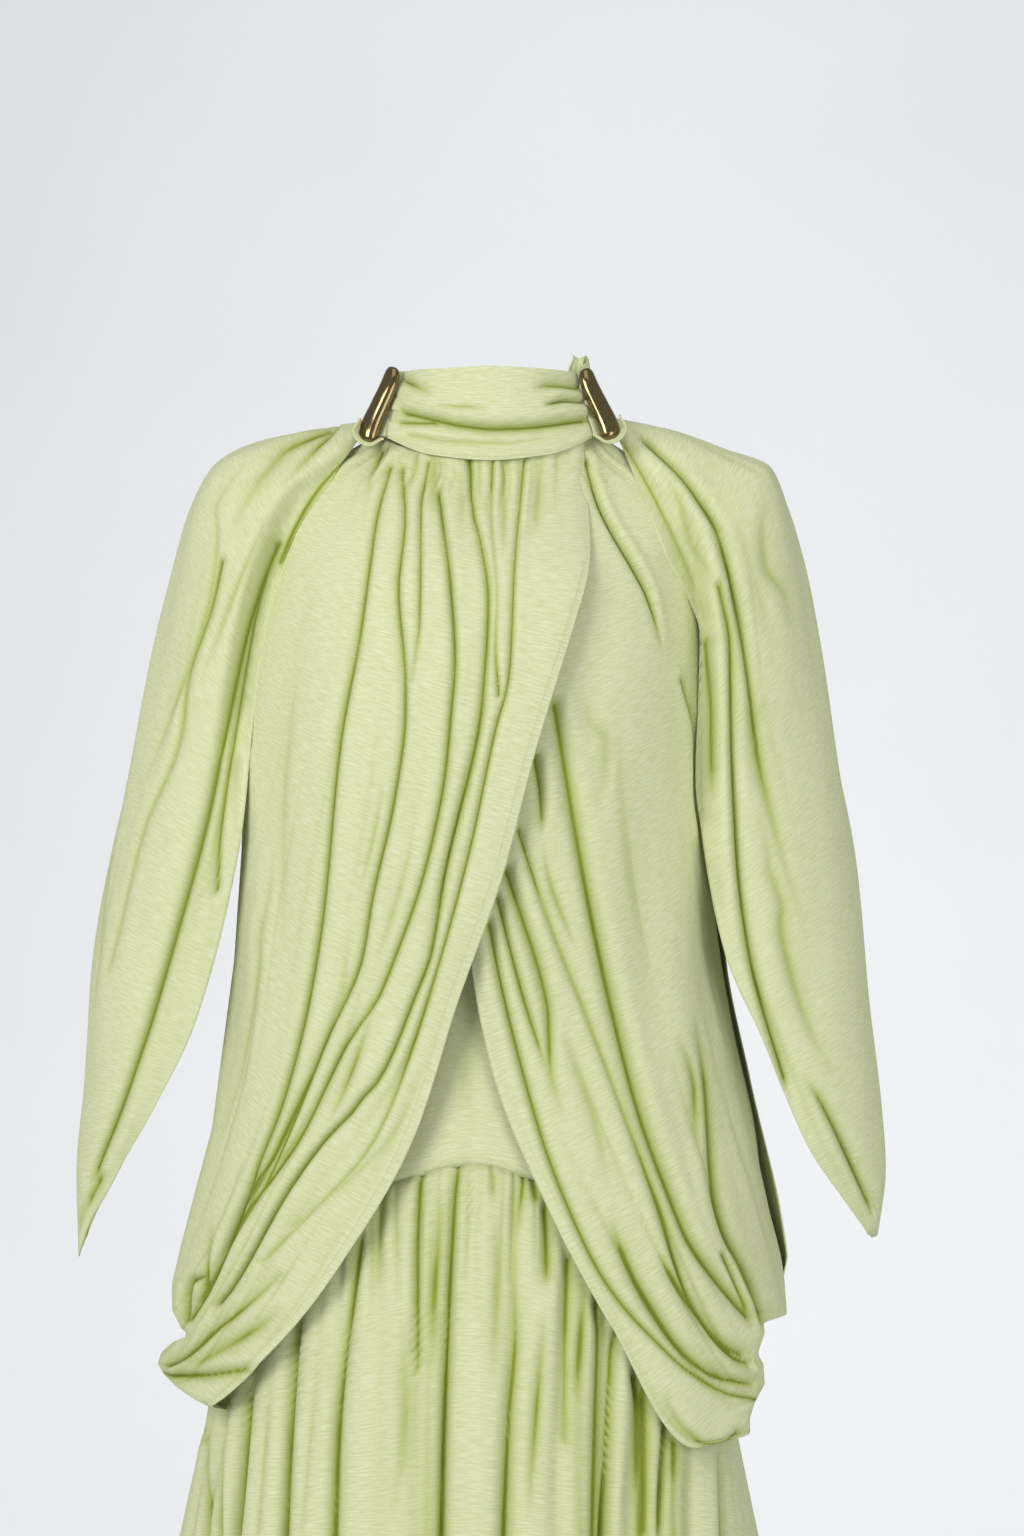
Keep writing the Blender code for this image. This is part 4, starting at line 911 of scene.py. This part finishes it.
# %% Sleeve sections
SLEEVE_RIGHT = [
    (0.00, -81.2, -22, -20, -85.9, 2, -22, -77.4, 28, -22),
    (0.10, -105, -48, 20, -122, 4, -16, -104, 50, -4),
    (0.20, -126, -60, 50, -160, 5, -8, -128, 66, 30),
    (0.28, -138, -64, 77, -186, 5, 5, -146, 74, 60),
    (0.36, -147, -66, 108, -204, 5, 36, -155, 78, 95),
    (0.46, -155, -67, 155, -216, 5, 80, -162, 78, 145),
    (0.56, -160, -67, 205, -229, 5, 138, -168, 76, 200),
    (0.66, -164, -66, 250, -242, 5, 200, -174, 72, 250),
    (0.76, -176, -63, 312, -257, 5, 270, -186, 66, 310),
    (0.86, -197, -58, 385, -270, 3, 350, -206, 54, 380),
    (0.93, -224, -48, 440, -276, 2, 430, -230, 42, 436),
    (0.97, -250, -30, 485, -281, 1, 490, -252, 28, 485),
    (1.00, -272, -12, 525, -280, 0, 545, -272, 12, 525),
]
SLEEVE_LEFT = [
    (0.00, 81.2, -22, -20, 85.9, 2, -24, 77.4, 28, -23),
    (0.10, 103, -46, 34, 122, 4, -17, 104, 50, 0),
    (0.20, 119, -59, 74, 160, 5, -4, 126, 66, 36),
    (0.28, 134, -61, 101, 190, 5, 7, 142, 72, 72),
    (0.36, 141, -63, 124, 203, 5, 36, 150, 76, 104),
    (0.46, 140, -64, 168, 214, 5, 76, 156, 76, 150),
    (0.56, 138, -65, 218, 224, 5, 130, 160, 76, 205),
    (0.66, 143, -65, 262, 235, 5, 196, 164, 74, 255),
    (0.76, 156, -62, 333, 248, 5, 272, 172, 66, 318),
    (0.86, 184, -56, 398, 256, 3, 358, 190, 52, 388),
    (0.93, 214, -44, 468, 266, 2, 440, 216, 40, 452),
    (0.97, 240, -28, 506, 269, 1, 486, 240, 26, 500),
    (1.00, 259, -10, 532, 264, 0, 530, 258, 10, 532),
]

# %% Sleeve folds
SLEEVE_RIGHT_FOLDS = [
    ((0.03, 0.035, 0.070, 0.120, 0.15), (0.5, 3.5, 8.0, 8.0, 3.0), (5, 9)),
    ((0.45, 0.200, 0.180, 0.280, 0.34), (1.0, 3.5, 5.0, 4.0, 1.0), (6, 10)),
    ((0.56, 0.400, 0.360, 0.420, 0.46), (0.5, 2.0, 3.0, 3.0, 1.0), (6, 12)),
    ((0.66, 0.580, 0.580, 0.580, 0.58), (0.5, 2.0, 4.0, 4.0, 1.0), (6, 12)),
    ((0.76, 0.740, 0.760, 0.760, 0.72), (1.0, 3.0, 5.0, 5.0, 2.0), (6, 12)),
    ((0.90, 0.900, 0.910, 0.900, 0.86), (0.5, 3.0, 5.0, 5.0, 2.0), (6, 10)),
]
SLEEVE_LEFT_FOLDS = [
    ((0.10, 0.040, 0.035, 0.030, 0.04), (1.0, 2.5, 0.5, 0.5, 0.5), (5, 7)),
    ((0.17, 0.095, 0.100, 0.065, 0.10), (0.5, 1.5, 7.0, 8.0, 3.0), (5, 9)),
    ((0.25, 0.165, 0.145, 0.180, 0.20), (2.0, 6.0, 5.0, 3.0, 2.0), (6, 10)),
    ((0.50, 0.360, 0.340, 0.360, 0.38), (0.5, 2.0, 3.0, 3.0, 1.0), (6, 12)),
    ((0.64, 0.580, 0.580, 0.580, 0.56), (0.5, 2.0, 4.0, 4.0, 1.0), (6, 12)),
    ((0.76, 0.750, 0.760, 0.750, 0.72), (1.0, 3.0, 5.0, 5.0, 2.0), (6, 12)),
    ((0.90, 0.900, 0.910, 0.900, 0.86), (0.5, 3.0, 5.0, 5.0, 2.0), (6, 10)),
]

# %% Sleeve creases
SLEEVE_RIGHT_CREASES = [
    (5.6, 7.7, 4.7, 3.3, 3.2, [(-144, 59), (-154, 81), (-169, 128), (-192, 242), (-213, 322), (-247, 432),
        (-268, 486)]),
    (3.8, 3.6, 4.7, 3.3, 2, [(-146, 59), (-158, 99), (-162, 116), (-181, 240), (-184, 264), (-186, 297)]),
    (3.5, 2.2, 1.3, 2.4, 3.1, [(-183, 72), (-190, 104), (-205, 151), (-211, 193), (-235, 254),
        (-259, 350)]),
    (3.3, 4, 4.7, 3, 2.6, [(-84, -8), (-115, 21), (-132, 49), (-142, 72)]),
    (3.9, 1.9, 0, 5.1, 5.8, [(-109, -17), (-133, -7), (-140, -3), (-167, 33), (-181, 64)]),
    (5.5, 2.3, 0, 4.6, 3.6, [(-103, -19), (-122, -2), (-143, 24)]),
    (0, 2.6, 0, 5.6, 2.6, [(-218, 77), (-239, 175), (-259, 281), (-263, 314), (-269, 381)]),
    (5.5, 1.9, 0, 3.4, 3.3, [(-265, 492), (-279, 522), (-282, 538)]),
    (0, 2.3, 0, 4.1, 2.3, [(-159, -2), (-180, 23), (-187, 38), (-186, 54), (-241, 244)]),
    (0, 1.9, 0, 2.3, 2.3, [(-145, 29), (-169, 82), (-199, 160)]),
]
SLEEVE_LEFT_CREASES = [
    (2.7, 2.6, 0.7, 6, 2.8, [(90, -8), (111, 28), (137, 82), (148, 113)]),
    (5.4, 7.7, 5.9, 2.8, 2.8, [(105, -11), (129, 11), (148, 38), (155, 52), (160, 68), (171, 115),
        (181, 188)]),
    (5.2, 7.7, 6.2, 2.4, 2.7, [(156, 89), (164, 130), (165, 197), (169, 280), (174, 321), (182, 362),
        (201, 426)]),
    (4.6, 1.6, 0, 5.5, 4.3, [(179, 176), (182, 201), (189, 233), (218, 337)]),
    (0, 7, 5.1, 2.8, 3.6, [(213, 423), (218, 429), (235, 458), (259, 510)]),
    (4.1, 6.6, 0, 3.9, 2.4, [(148, 126), (152, 184), (152, 235)]),
    (0.3, 0.7, 0, 4.5, 8.8, [(140, 2), (167, 45), (185, 101), (197, 167)]),
    (0, 1.7, 0, 3.9, 3.3, [(112, 6), (130, 34), (134, 51), (137, 58), (154, 87)]),
    (0, 2.4, 0, 4.3, 5.2, [(185, 231), (182, 238), (182, 246), (189, 261), (190, 278), (199, 310),
        (198, 318), (199, 327), (207, 359), (222, 399), (243, 435)]),
    (0, 1.9, 0, 5.3, 5.2, [(188, 24), (186, 50), (188, 75), (201, 97), (204, 114), (208, 122)]),
]

# %% Lay the front edges on the drapes
def laid_on(drape, opens):
    """The sleeve's front edge lies on a drape from the collar to a drop in mm, and hangs free below it."""
    grid_across, grid_along = np.meshgrid(np.linspace(0, 1, 90), np.linspace(0, 0.7, 110))
    under, u_metres, v_metres, crease_shade, out = surfaces[drape](grid_across.ravel(), grid_along.ravel())
    under = under[under[:, 1] < -30 * MM]

    def lay(points, across, along, out):
        drop = -points[:, 2] / MM
        share = np.clip(1 - across / 0.16, 0, 1)
        share = share * share * (3 - 2 * share) * np.clip((opens - drop) / 90, 0, 1)
        share = share * np.clip((drop + 4) / 10, 0, 1)
        moved = points.copy()
        for k in np.flatnonzero(share > 0):
            gap = (under[:, 0] - points[k, 0]) ** 2 + (under[:, 2] - points[k, 2]) ** 2
            weight = np.exp(-gap / (5 * MM) ** 2) + 1e-12
            target = np.sum(weight * under[:, 1]) / np.sum(weight) - 1.2 * MM
            inside = math.exp(-gap.min() / (7 * MM) ** 2)
            moved[k, 1] += share[k] * inside * (target - points[k, 1])
        return moved

    return lay


# %% Make the sleeves
FRONT_EDGE = ((1, 2, 3, 3, 1.5), 8)
SLEEVES = {
    "right": (SLEEVE_RIGHT, SLEEVE_RIGHT_FOLDS, SLEEVE_RIGHT_CREASES, 51, -1, 260),
    "left": (SLEEVE_LEFT, SLEEVE_LEFT_FOLDS, SLEEVE_LEFT_CREASES, 52, 1, 340),
}
for which, (rows, folds, creases, seed, side, opens) in SLEEVES.items():
    fine = strewn_creases(seed, 18, 1.2, 3.0, longest=0.35)
    made["sleeve_" + which] = cloth_piece(f"sleeve_{which}_cloth", sleeved, rows, folds, creases, fine,
                                          120, 150, side=side, curl=(FRONT_EDGE, SOFT_EDGE), ripple=0.7,
                                          warp=laid_on(f"drape_{which}_cloth", opens))

# %% [markdown]
# ## Collar
# The collar is a stand of doubled jersey, longer than the neck and pushed down into level folds between the
# two bars. Its folds run round the neck, so "along" goes from one bar to the other here.

# %% Collar sections and folds
COLLAR_FRONT = [
    (0.00, -52, -9, 88, 66, -61, -54, 66, 60, 0, 0),
    (0.25, -26, 4, 88, 66, -30, -54, 66, 60, 0, 0),
    (0.50, 0, 8, 88, 66, 0, -55, 66, 60, 0, 0),
    (0.75, 26, 4, 88, 66, 30, -54, 66, 60, 0, 0),
    (1.00, 52, -9, 88, 66, 61, -53, 66, 60, 0, 0),
]
COLLAR_BACK = [
    (0.00, 52.6, -9.4, 88, 66, 61.6, -53, 66, 60, 0, 0),
    (0.16, 90, -16, 86, 66, 88, -63, 66, 60, 0, 0),
    (0.30, 122, -18, 86, 62, 118, -59, 66, 58, 0, 0),
    (0.50, 180, -18, 86, 60, 180, -58, 66, 56, 0, 0),
    (0.70, 238, -18, 86, 62, 242, -57, 66, 58, 0, 0),
    (0.84, 270, -16, 86, 66, 272, -56, 66, 60, 0, 0),
    (1.00, 307.4, -9.4, 88, 66, 298.4, -54, 66, 60, 0, 0),
]
COLLAR_BACK_FOLDS = [
    ((0.30, 0.28, 0.30, 0.28, 0.30), (1.0, 2.0, 2.2, 2.0, 1.0), (3, 3)),
    ((0.62, 0.58, 0.56, 0.60, 0.60), (1.4, 2.4, 2.8, 2.4, 1.2), (3, 3)),
    ((0.86, 0.84, 0.86, 0.85, 0.84), (1.0, 1.6, 1.4, 1.6, 1.0), (3, 3)),
]

# %% Make the collar
COLLAR_FRONT_CREASES = [
    (5.5, 6.5, 5.7, 3.9, 3.2, [(-59, -29), (-18, -20), (3, -18), (27, -19), (65, -24)]),
    (1.1, 2.1, 0, 2.2, 1.7, [(-34, -33), (0, -32)]),
    (0, 6, 4.5, 3, 2, [(36, -33), (52, -37), (63, -36)]),
    (0, 3.3, 3.4, 2.7, 5, [(27, -44), (41, -47), (60, -45)]),
    (3.9, 2.2, 0, 3.8, 6, [(-58, -50), (-37, -40)]),
    (0.7, 0.7, 0, 1.6, 3.7, [(-60, -37), (-33, -32)]),
    (2.9, 5.2, 0, 2.6, 6.6, [(-61, -22), (-42, -22), (-31, -18)]),
    (1.8, 1.6, 0.3, 4.5, 2.3, [(-54, -13), (-27, -9), (7, -8), (31, -10), (48, -13)]),
    (0.3, 1.3, 0, 1.8, 8, [(58, -30), (48, -26), (31, -24)]),
]
made["collar_front"] = cloth_piece("collar_front_cloth", wrapped, COLLAR_FRONT, [], COLLAR_FRONT_CREASES, [],
                                   180, 70, thickness=1.4, ripple=0.15, curl=(SEWN_EDGE, FLAT_EDGE),
                                   turned=True)
made["collar_back"] = cloth_piece("collar_back_cloth", wrapped, COLLAR_BACK, COLLAR_BACK_FOLDS, [], [],
                                  150, 50, thickness=1.4, ripple=0.2, press=1.0, turned=True)

# %% [markdown]
# ## Bars
# A polished metal bar stands at each side of the collar, cast and plated pale gold. It is a ball drawn out
# to a round-ended bar, thicker at its foot, drawn in at its middle and slightly bent.

# %% Polished plate material
def polished_plate(name):
    """Cast zinc plated pale gold and polished: a metal with faint polishing marks."""
    material, tree, shader = empty_material(name)
    place = add_node(tree, "ShaderNodeTexCoord")
    mark = add_node(tree, "ShaderNodeTexNoise", values={"Scale": 900.0, "Detail": 2.0},
                    links={"Vector": place.outputs["Object"]})
    gloss = add_node(tree, "ShaderNodeMapRange", values={"To Min": 0.07, "To Max": 0.16},
                     links={"Value": mark.outputs["Fac"]})
    tree.links.new(gloss.outputs["Result"], shader.inputs["Roughness"])
    shader.inputs["Metallic"].default_value = 1.0
    shader.inputs["Base Color"].default_value = linear("#8d7d5a")
    return material


pale_gold = polished_plate("polished_pale_gold_plate")

# %% Make the bars
BARS = {
    "bar_right": ((-82.5, -42, 5), (-64.8, -32, 56.5), -40),
    "bar_left": ((82, -42, 7), (64.4, -32, 55.5), 40),
}
BAR_WIDTH = 19 * MM
BAR_THICKNESS = 14 * MM
BAR_WAIST = 0.24
BAR_TAPER = 0.17
BAR_BEND = 1.6 * MM
for node_name, (foot, head, face_turn) in BARS.items():
    foot, head = Vector(foot) * MM, Vector(head) * MM
    ball = bmesh.new()
    bmesh.ops.create_uvsphere(ball, u_segments=56, v_segments=40, radius=1.0)
    up = (head - foot).normalized()
    facing = Vector((math.sin(math.radians(face_turn)), -math.cos(math.radians(face_turn)), 0))
    facing = (facing - up * facing.dot(up)).normalized()
    turned = Matrix((facing.cross(up), facing, up)).transposed()
    for vertex in ball.verts:
        height = vertex.co.z
        ring = math.sqrt(max(0.0, 1 - height * height))
        blunt = ring ** 0.55 / ring if ring > 1e-6 else 0.0
        narrow = (1 - BAR_WAIST * (1 - height * height)) * (1 - BAR_TAPER * height)
        bent = math.copysign(BAR_BEND, foot.x) * math.sin(3 * height)
        local = Vector((vertex.co.x * blunt * narrow * BAR_WIDTH / 2 + bent,
                        vertex.co.y * blunt * narrow * BAR_THICKNESS / 2,
                        math.copysign(abs(height) ** 0.85, height) * (head - foot).length / 2))
        vertex.co = (foot + head) / 2 + turned @ local
    bmesh.ops.recalc_face_normals(ball, faces=ball.faces)
    mesh = bpy.data.meshes.new(node_name + "_metal")
    ball.to_mesh(mesh)
    ball.free()
    mesh.polygons.foreach_set("use_smooth", np.ones(len(mesh.polygons), bool))
    mesh.materials.append(pale_gold)
    made[node_name] = placed(node_name + "_metal", mesh)
    print(node_name, "is", round((head - foot).length / MM), "mm long")

# %% [markdown]
# ## Cloth loops and a tie end
# A narrow loop of the same jersey holds each bar at its foot, and a folded tie end stands up behind the
# collar at the wearer's left. Each is one short strip bent along a path.

# %% Strips of cloth
STRIP_LINES = 40
STRIP_COLUMNS = 10
TURNED_UNDER = 5


def strip(name, path, across, width, bow=0.8, pinch=0.0):
    """A strip of cloth along a path in mm. across is the direction of its width, bow how far it rounds out,
    and pinch how much narrower its middle is."""
    path = np.asarray(path, float)
    run = np.concatenate([[0], np.cumsum(np.linalg.norm(np.diff(path, axis=0), axis=1))])
    place = np.linspace(0, run[-1], STRIP_LINES + 1)
    line = np.stack([through(run, path[:, k], place) for k in range(3)], axis=1)
    along = np.gradient(line, axis=0)
    along /= np.linalg.norm(along, axis=1, keepdims=True)
    wide = np.asarray(across, float) - along * (along @ np.asarray(across, float))[:, None]
    wide /= np.linalg.norm(wide, axis=1, keepdims=True)
    out = np.cross(along, wide)
    t = np.linspace(-1, 1, STRIP_COLUMNS + 1)
    size = 1 - pinch * np.exp(-((place / run[-1] - 0.5) / 0.18) ** 2)
    grid = line[:, None, :] + wide[:, None, :] * size[:, None, None] * (t * width / 2)[None, :, None]
    grid = grid + out[:, None, :] * (bow * (1 - t ** 2) + 0.35 * np.cos(t * 9))[None, :, None]
    points = grid.reshape(-1, 3) * MM
    first = np.arange(STRIP_LINES)[:, None] * (STRIP_COLUMNS + 1)
    corner = (first + np.arange(STRIP_COLUMNS)[None, :]).ravel()
    faces = np.stack([corner + k for k in (0, 1, STRIP_COLUMNS + 2, STRIP_COLUMNS + 1)], axis=1)
    cloth_map = np.stack(np.meshgrid(t * width / 2 * MM, place * MM), axis=-1).reshape(-1, 2)
    # Painted shade: a light crease shade over the whole strip, deeper along its small ripples.
    crease_shade = np.tile(0.12 + 0.1 * np.cos(t * 9), STRIP_LINES + 1)
    piece = cloth_object(name, points, faces, cloth_map, crease_shade, 0.9)
    print(name, "is", round(run[-1]), "mm long and", width, "mm wide")
    # The cut is wider than the strip, because its two long edges are turned under.
    return piece, ((width + TURNED_UNDER) * MM, float(run[-1]) * MM), width * float(run[-1]) * MM * MM


strips = {
    "loop_right": strip("loop_right_cloth", [(-87, -41, 20), (-90, -46, 13), (-87, -51, 6), (-80, -52, 3),
                                             (-72, -48, 7)], (0.3, 1, 0.3), 6),
    "loop_left": strip("loop_left_cloth", [(87, -41, 22), (90, -46, 15), (87, -51, 8), (80, -52, 5),
                                           (72, -48, 9)], (-0.3, 1, 0.3), 6),
    "tie_end": strip("tie_end_cloth", [(60, -12, 46), (59, -12, 55), (59.5, -10, 62), (60.5, -7, 66),
                                       (61.5, -3, 62), (62, -2, 52)], (1, 0.3, 0), 13, bow=1.5, pinch=0.45),
}

# %% [markdown]
# ## Stitches
# Seams are sewn with a fine thread of the same colour. A small node tree lays one short stitch after another
# along each seam line. Node trees suit such work, because the line gives the places and one stitch serves for
# all. The stitches are then made into plain mesh.

# %% Stitch tree
def stitch_tree():
    """Lay a stitch at even steps along a line. The step, length and radius are inputs."""
    tree = bpy.data.node_groups.new("stitches_along_a_line", "GeometryNodeTree")
    tree.interface.new_socket("Line", in_out="INPUT", socket_type="NodeSocketGeometry")
    inputs = {"Line": tree.interface.items_tree[0].identifier}
    for title, value in (("Step", 3.0 * MM), ("Stitch Length", 1.9 * MM), ("Thread Radius", 0.22 * MM)):
        socket = tree.interface.new_socket(title, in_out="INPUT", socket_type="NodeSocketFloat")
        socket.default_value = value
        inputs[title] = socket.identifier
    socket = tree.interface.new_socket("Thread", in_out="INPUT", socket_type="NodeSocketMaterial")
    inputs["Thread"] = socket.identifier
    tree.interface.new_socket("Stitches", in_out="OUTPUT", socket_type="NodeSocketGeometry")
    start = tree.nodes.new("NodeGroupInput")
    line = add_node(tree, "GeometryNodeMeshToCurve", links={"Mesh": start.outputs["Line"]})
    places = add_node(tree, "GeometryNodeCurveToPoints", {"mode": "LENGTH"},
                      links={"Curve": line.outputs["Curve"], "Length": start.outputs["Step"]})
    thread = add_node(tree, "GeometryNodeMeshCylinder", {"fill_type": "NGON"}, {"Vertices": 6},
                      {"Radius": start.outputs["Thread Radius"], "Depth": start.outputs["Stitch Length"]})
    laid = add_node(tree, "GeometryNodeInstanceOnPoints",
                    links={"Points": places.outputs["Points"], "Instance": thread.outputs["Mesh"],
                           "Rotation": places.outputs["Rotation"]})
    real = add_node(tree, "GeometryNodeRealizeInstances", links={"Geometry": laid.outputs["Instances"]})
    dyed = add_node(tree, "GeometryNodeSetMaterial",
                    links={"Geometry": real.outputs["Geometry"], "Material": start.outputs["Thread"]})
    end = tree.nodes.new("NodeGroupOutput")
    tree.links.new(dyed.outputs["Geometry"], end.inputs["Stitches"])
    return tree, inputs


def sewing_thread(name):
    """Spun polyester thread, a little lighter than the cloth, with a faint twist along it."""
    material, tree, shader = empty_material(name)
    place = add_node(tree, "ShaderNodeTexCoord")
    twist = add_node(tree, "ShaderNodeTexNoise", values={"Scale": 2500.0, "Detail": 1.0},
                     links={"Vector": place.outputs["Object"]})
    tone = add_node(tree, "ShaderNodeMix", {"data_type": "RGBA"},
                    {"A": linear("#cfd69a"), "B": linear("#e6eac4")}, {"Factor": twist.outputs["Fac"]})
    tree.links.new(tone.outputs["Result"], shader.inputs["Base Color"])
    shader.inputs["Roughness"].default_value = 0.55
    return material


thread = sewing_thread("spun_polyester_thread")
tree, tree_inputs = stitch_tree()

# %% Sew the seams
LINE_POINTS = 500
SEAMS = {
    # name: (cloth, across from, across to, along from, along to, lift in mm)
    "collar_stitches": ("collar_front_cloth", 0.035, 0.035, 0.03, 0.97, 0.85),
    "waist_stitches": ("bodice_front_cloth", 0.12, 0.88, 0.9905, 0.9905, 0.55),
    "right_edge_stitches": ("drape_right_cloth", 0.022, 0.022, 0.10, 0.97, 0.6),
    "left_edge_stitches": ("drape_left_cloth", 0.022, 0.022, 0.55, 0.97, 0.6),
}
stitches = {}
for seam_name, (cloth_name, across_from, across_to, along_from, along_to, lift) in SEAMS.items():
    line_across = np.linspace(across_from, across_to, LINE_POINTS)
    line_along = np.linspace(along_from, along_to, LINE_POINTS)
    points, u_metres, v_metres, crease_shade, out = surfaces[cloth_name](line_across, line_along)
    points = points + out * lift * MM
    line_mesh = bpy.data.meshes.new(seam_name + "_line")
    line_mesh.from_pydata(points.tolist(), [(k, k + 1) for k in range(LINE_POINTS - 1)], [])
    line_object = placed(seam_name + "_line", line_mesh)
    sewing = line_object.modifiers.new("sewing", "NODES")
    sewing.node_group = tree
    sewing[tree_inputs["Thread"]] = thread
    depsgraph = bpy.context.evaluated_depsgraph_get()
    sewn = bpy.data.meshes.new_from_object(line_object.evaluated_get(depsgraph))
    bpy.data.objects.remove(line_object, do_unlink=True)
    stitches[seam_name] = placed(seam_name, sewn)
    print(seam_name, "has", len(sewn.polygons) // 8, "stitches")

# %% [markdown]
# ## Joining the pieces to the solids
# Every piece takes the place of its plain solid and moves with the one body, "root".

# %% Ride and replace
for node_name, piece in made.items():
    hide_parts(node_name)
    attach(piece, "root")
for piece, flat_size, strip_area in strips.values():
    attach(piece, "root")
for piece in stitches.values():
    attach(piece, "root")

# %% [markdown]
# ## Studio
# The dress hangs before a plain pale sweep: a floor that curves up into a far wall, so that the dress can be
# looked at from behind too. Large soft lights stand left, right and above, and one more lights the wall. The
# camera looks level from three metres, with a long lens, so little is foreshortened.

# %% Floor and backdrop
FLOOR = -1.432
WALL = 8.6
SWEEP_RADIUS = 4.2
SWEEP_STEPS = 40
sweep_rows = [(-8.0, FLOOR)]
for step in range(SWEEP_STEPS + 1):
    angle = math.radians(90 * step / SWEEP_STEPS)
    sweep_y = WALL - SWEEP_RADIUS * (1 - math.sin(angle))
    sweep_rows.append((sweep_y, FLOOR + SWEEP_RADIUS * (1 - math.cos(angle))))
sweep_rows.append((WALL, 8.0))
sweep_points = [(x, y, z) for y, z in sweep_rows for x in (-9.0, 9.0)]
sweep_faces = [(2 * k, 2 * k + 1, 2 * k + 3, 2 * k + 2) for k in range(len(sweep_rows) - 1)]
sweep_mesh = bpy.data.meshes.new("studio_sweep")
sweep_mesh.from_pydata(sweep_points, [], sweep_faces)
sweep_mesh.polygons.foreach_set("use_smooth", np.ones(len(sweep_faces), bool))
paper, paper_tree, paper_shader = empty_material("matte_backdrop_paper")
paper_place = add_node(paper_tree, "ShaderNodeTexCoord")
paper_noise = add_node(paper_tree, "ShaderNodeTexNoise", values={"Scale": 1.6},
                       links={"Vector": paper_place.outputs["Object"]})
paper_tone = add_node(paper_tree, "ShaderNodeMix", {"data_type": "RGBA"},
                      {"A": linear("#e9ebed"), "B": linear("#edeff0")},
                      {"Factor": paper_noise.outputs["Fac"]})
paper_tree.links.new(paper_tone.outputs["Result"], paper_shader.inputs["Base Color"])
paper_shader.inputs["Roughness"].default_value = 0.95
sweep_mesh.materials.append(paper)
sweep = placed("studio_sweep", sweep_mesh)

# %% Lights
LIGHTS = {
    "key": ((-1.9, -2.8, 1.1), (0, 0, -0.5), 1.7, 66),
    "fill": ((2.2, -2.8, 0.1), (0, 0, -0.6), 2.0, 30),
    "top": ((0.2, -1.1, 2.4), (0, 0, -0.3), 1.8, 9),
    "backdrop": ((0.5, 3.4, 3.0), (0.0, 8.4, -1.6), 2.0, 160),
}
for light_name, (place, aim, size, power) in LIGHTS.items():
    lamp = bpy.data.lights.new(light_name, "AREA")
    lamp.size = size
    lamp.energy = power
    lamp_object = placed(light_name, lamp)
    lamp_object.location = place
    lamp_object.rotation_euler = (Vector(aim) - Vector(place)).to_track_quat("-Z", "Y").to_euler()
world = bpy.data.worlds.new("studio_air")
world.use_nodes = True
world.node_tree.nodes["Background"].inputs["Color"].default_value = linear("#f1f2f3")
world.node_tree.nodes["Background"].inputs["Strength"].default_value = 0.36
bpy.context.scene.world = world
bpy.context.scene.view_settings.view_transform = "Standard"
bpy.context.scene.view_settings.look = "None"

# %% Camera
CAMERA_DISTANCE = 3.0
MM_PER_PIXEL = 0.68
PICTURE_HEIGHT = 1536
camera_data = bpy.data.cameras.new("camera")
camera_data.sensor_width = 36
camera_data.lens = 36 * CAMERA_DISTANCE / (PICTURE_HEIGHT * MM_PER_PIXEL * MM)
camera = placed("camera", camera_data)
camera.location = (0.015, -CAMERA_DISTANCE, -0.213)
camera.rotation_euler = (math.radians(90), 0, 0)
bpy.context.scene.camera = camera
print("lens:", round(camera_data.lens, 1), "mm")
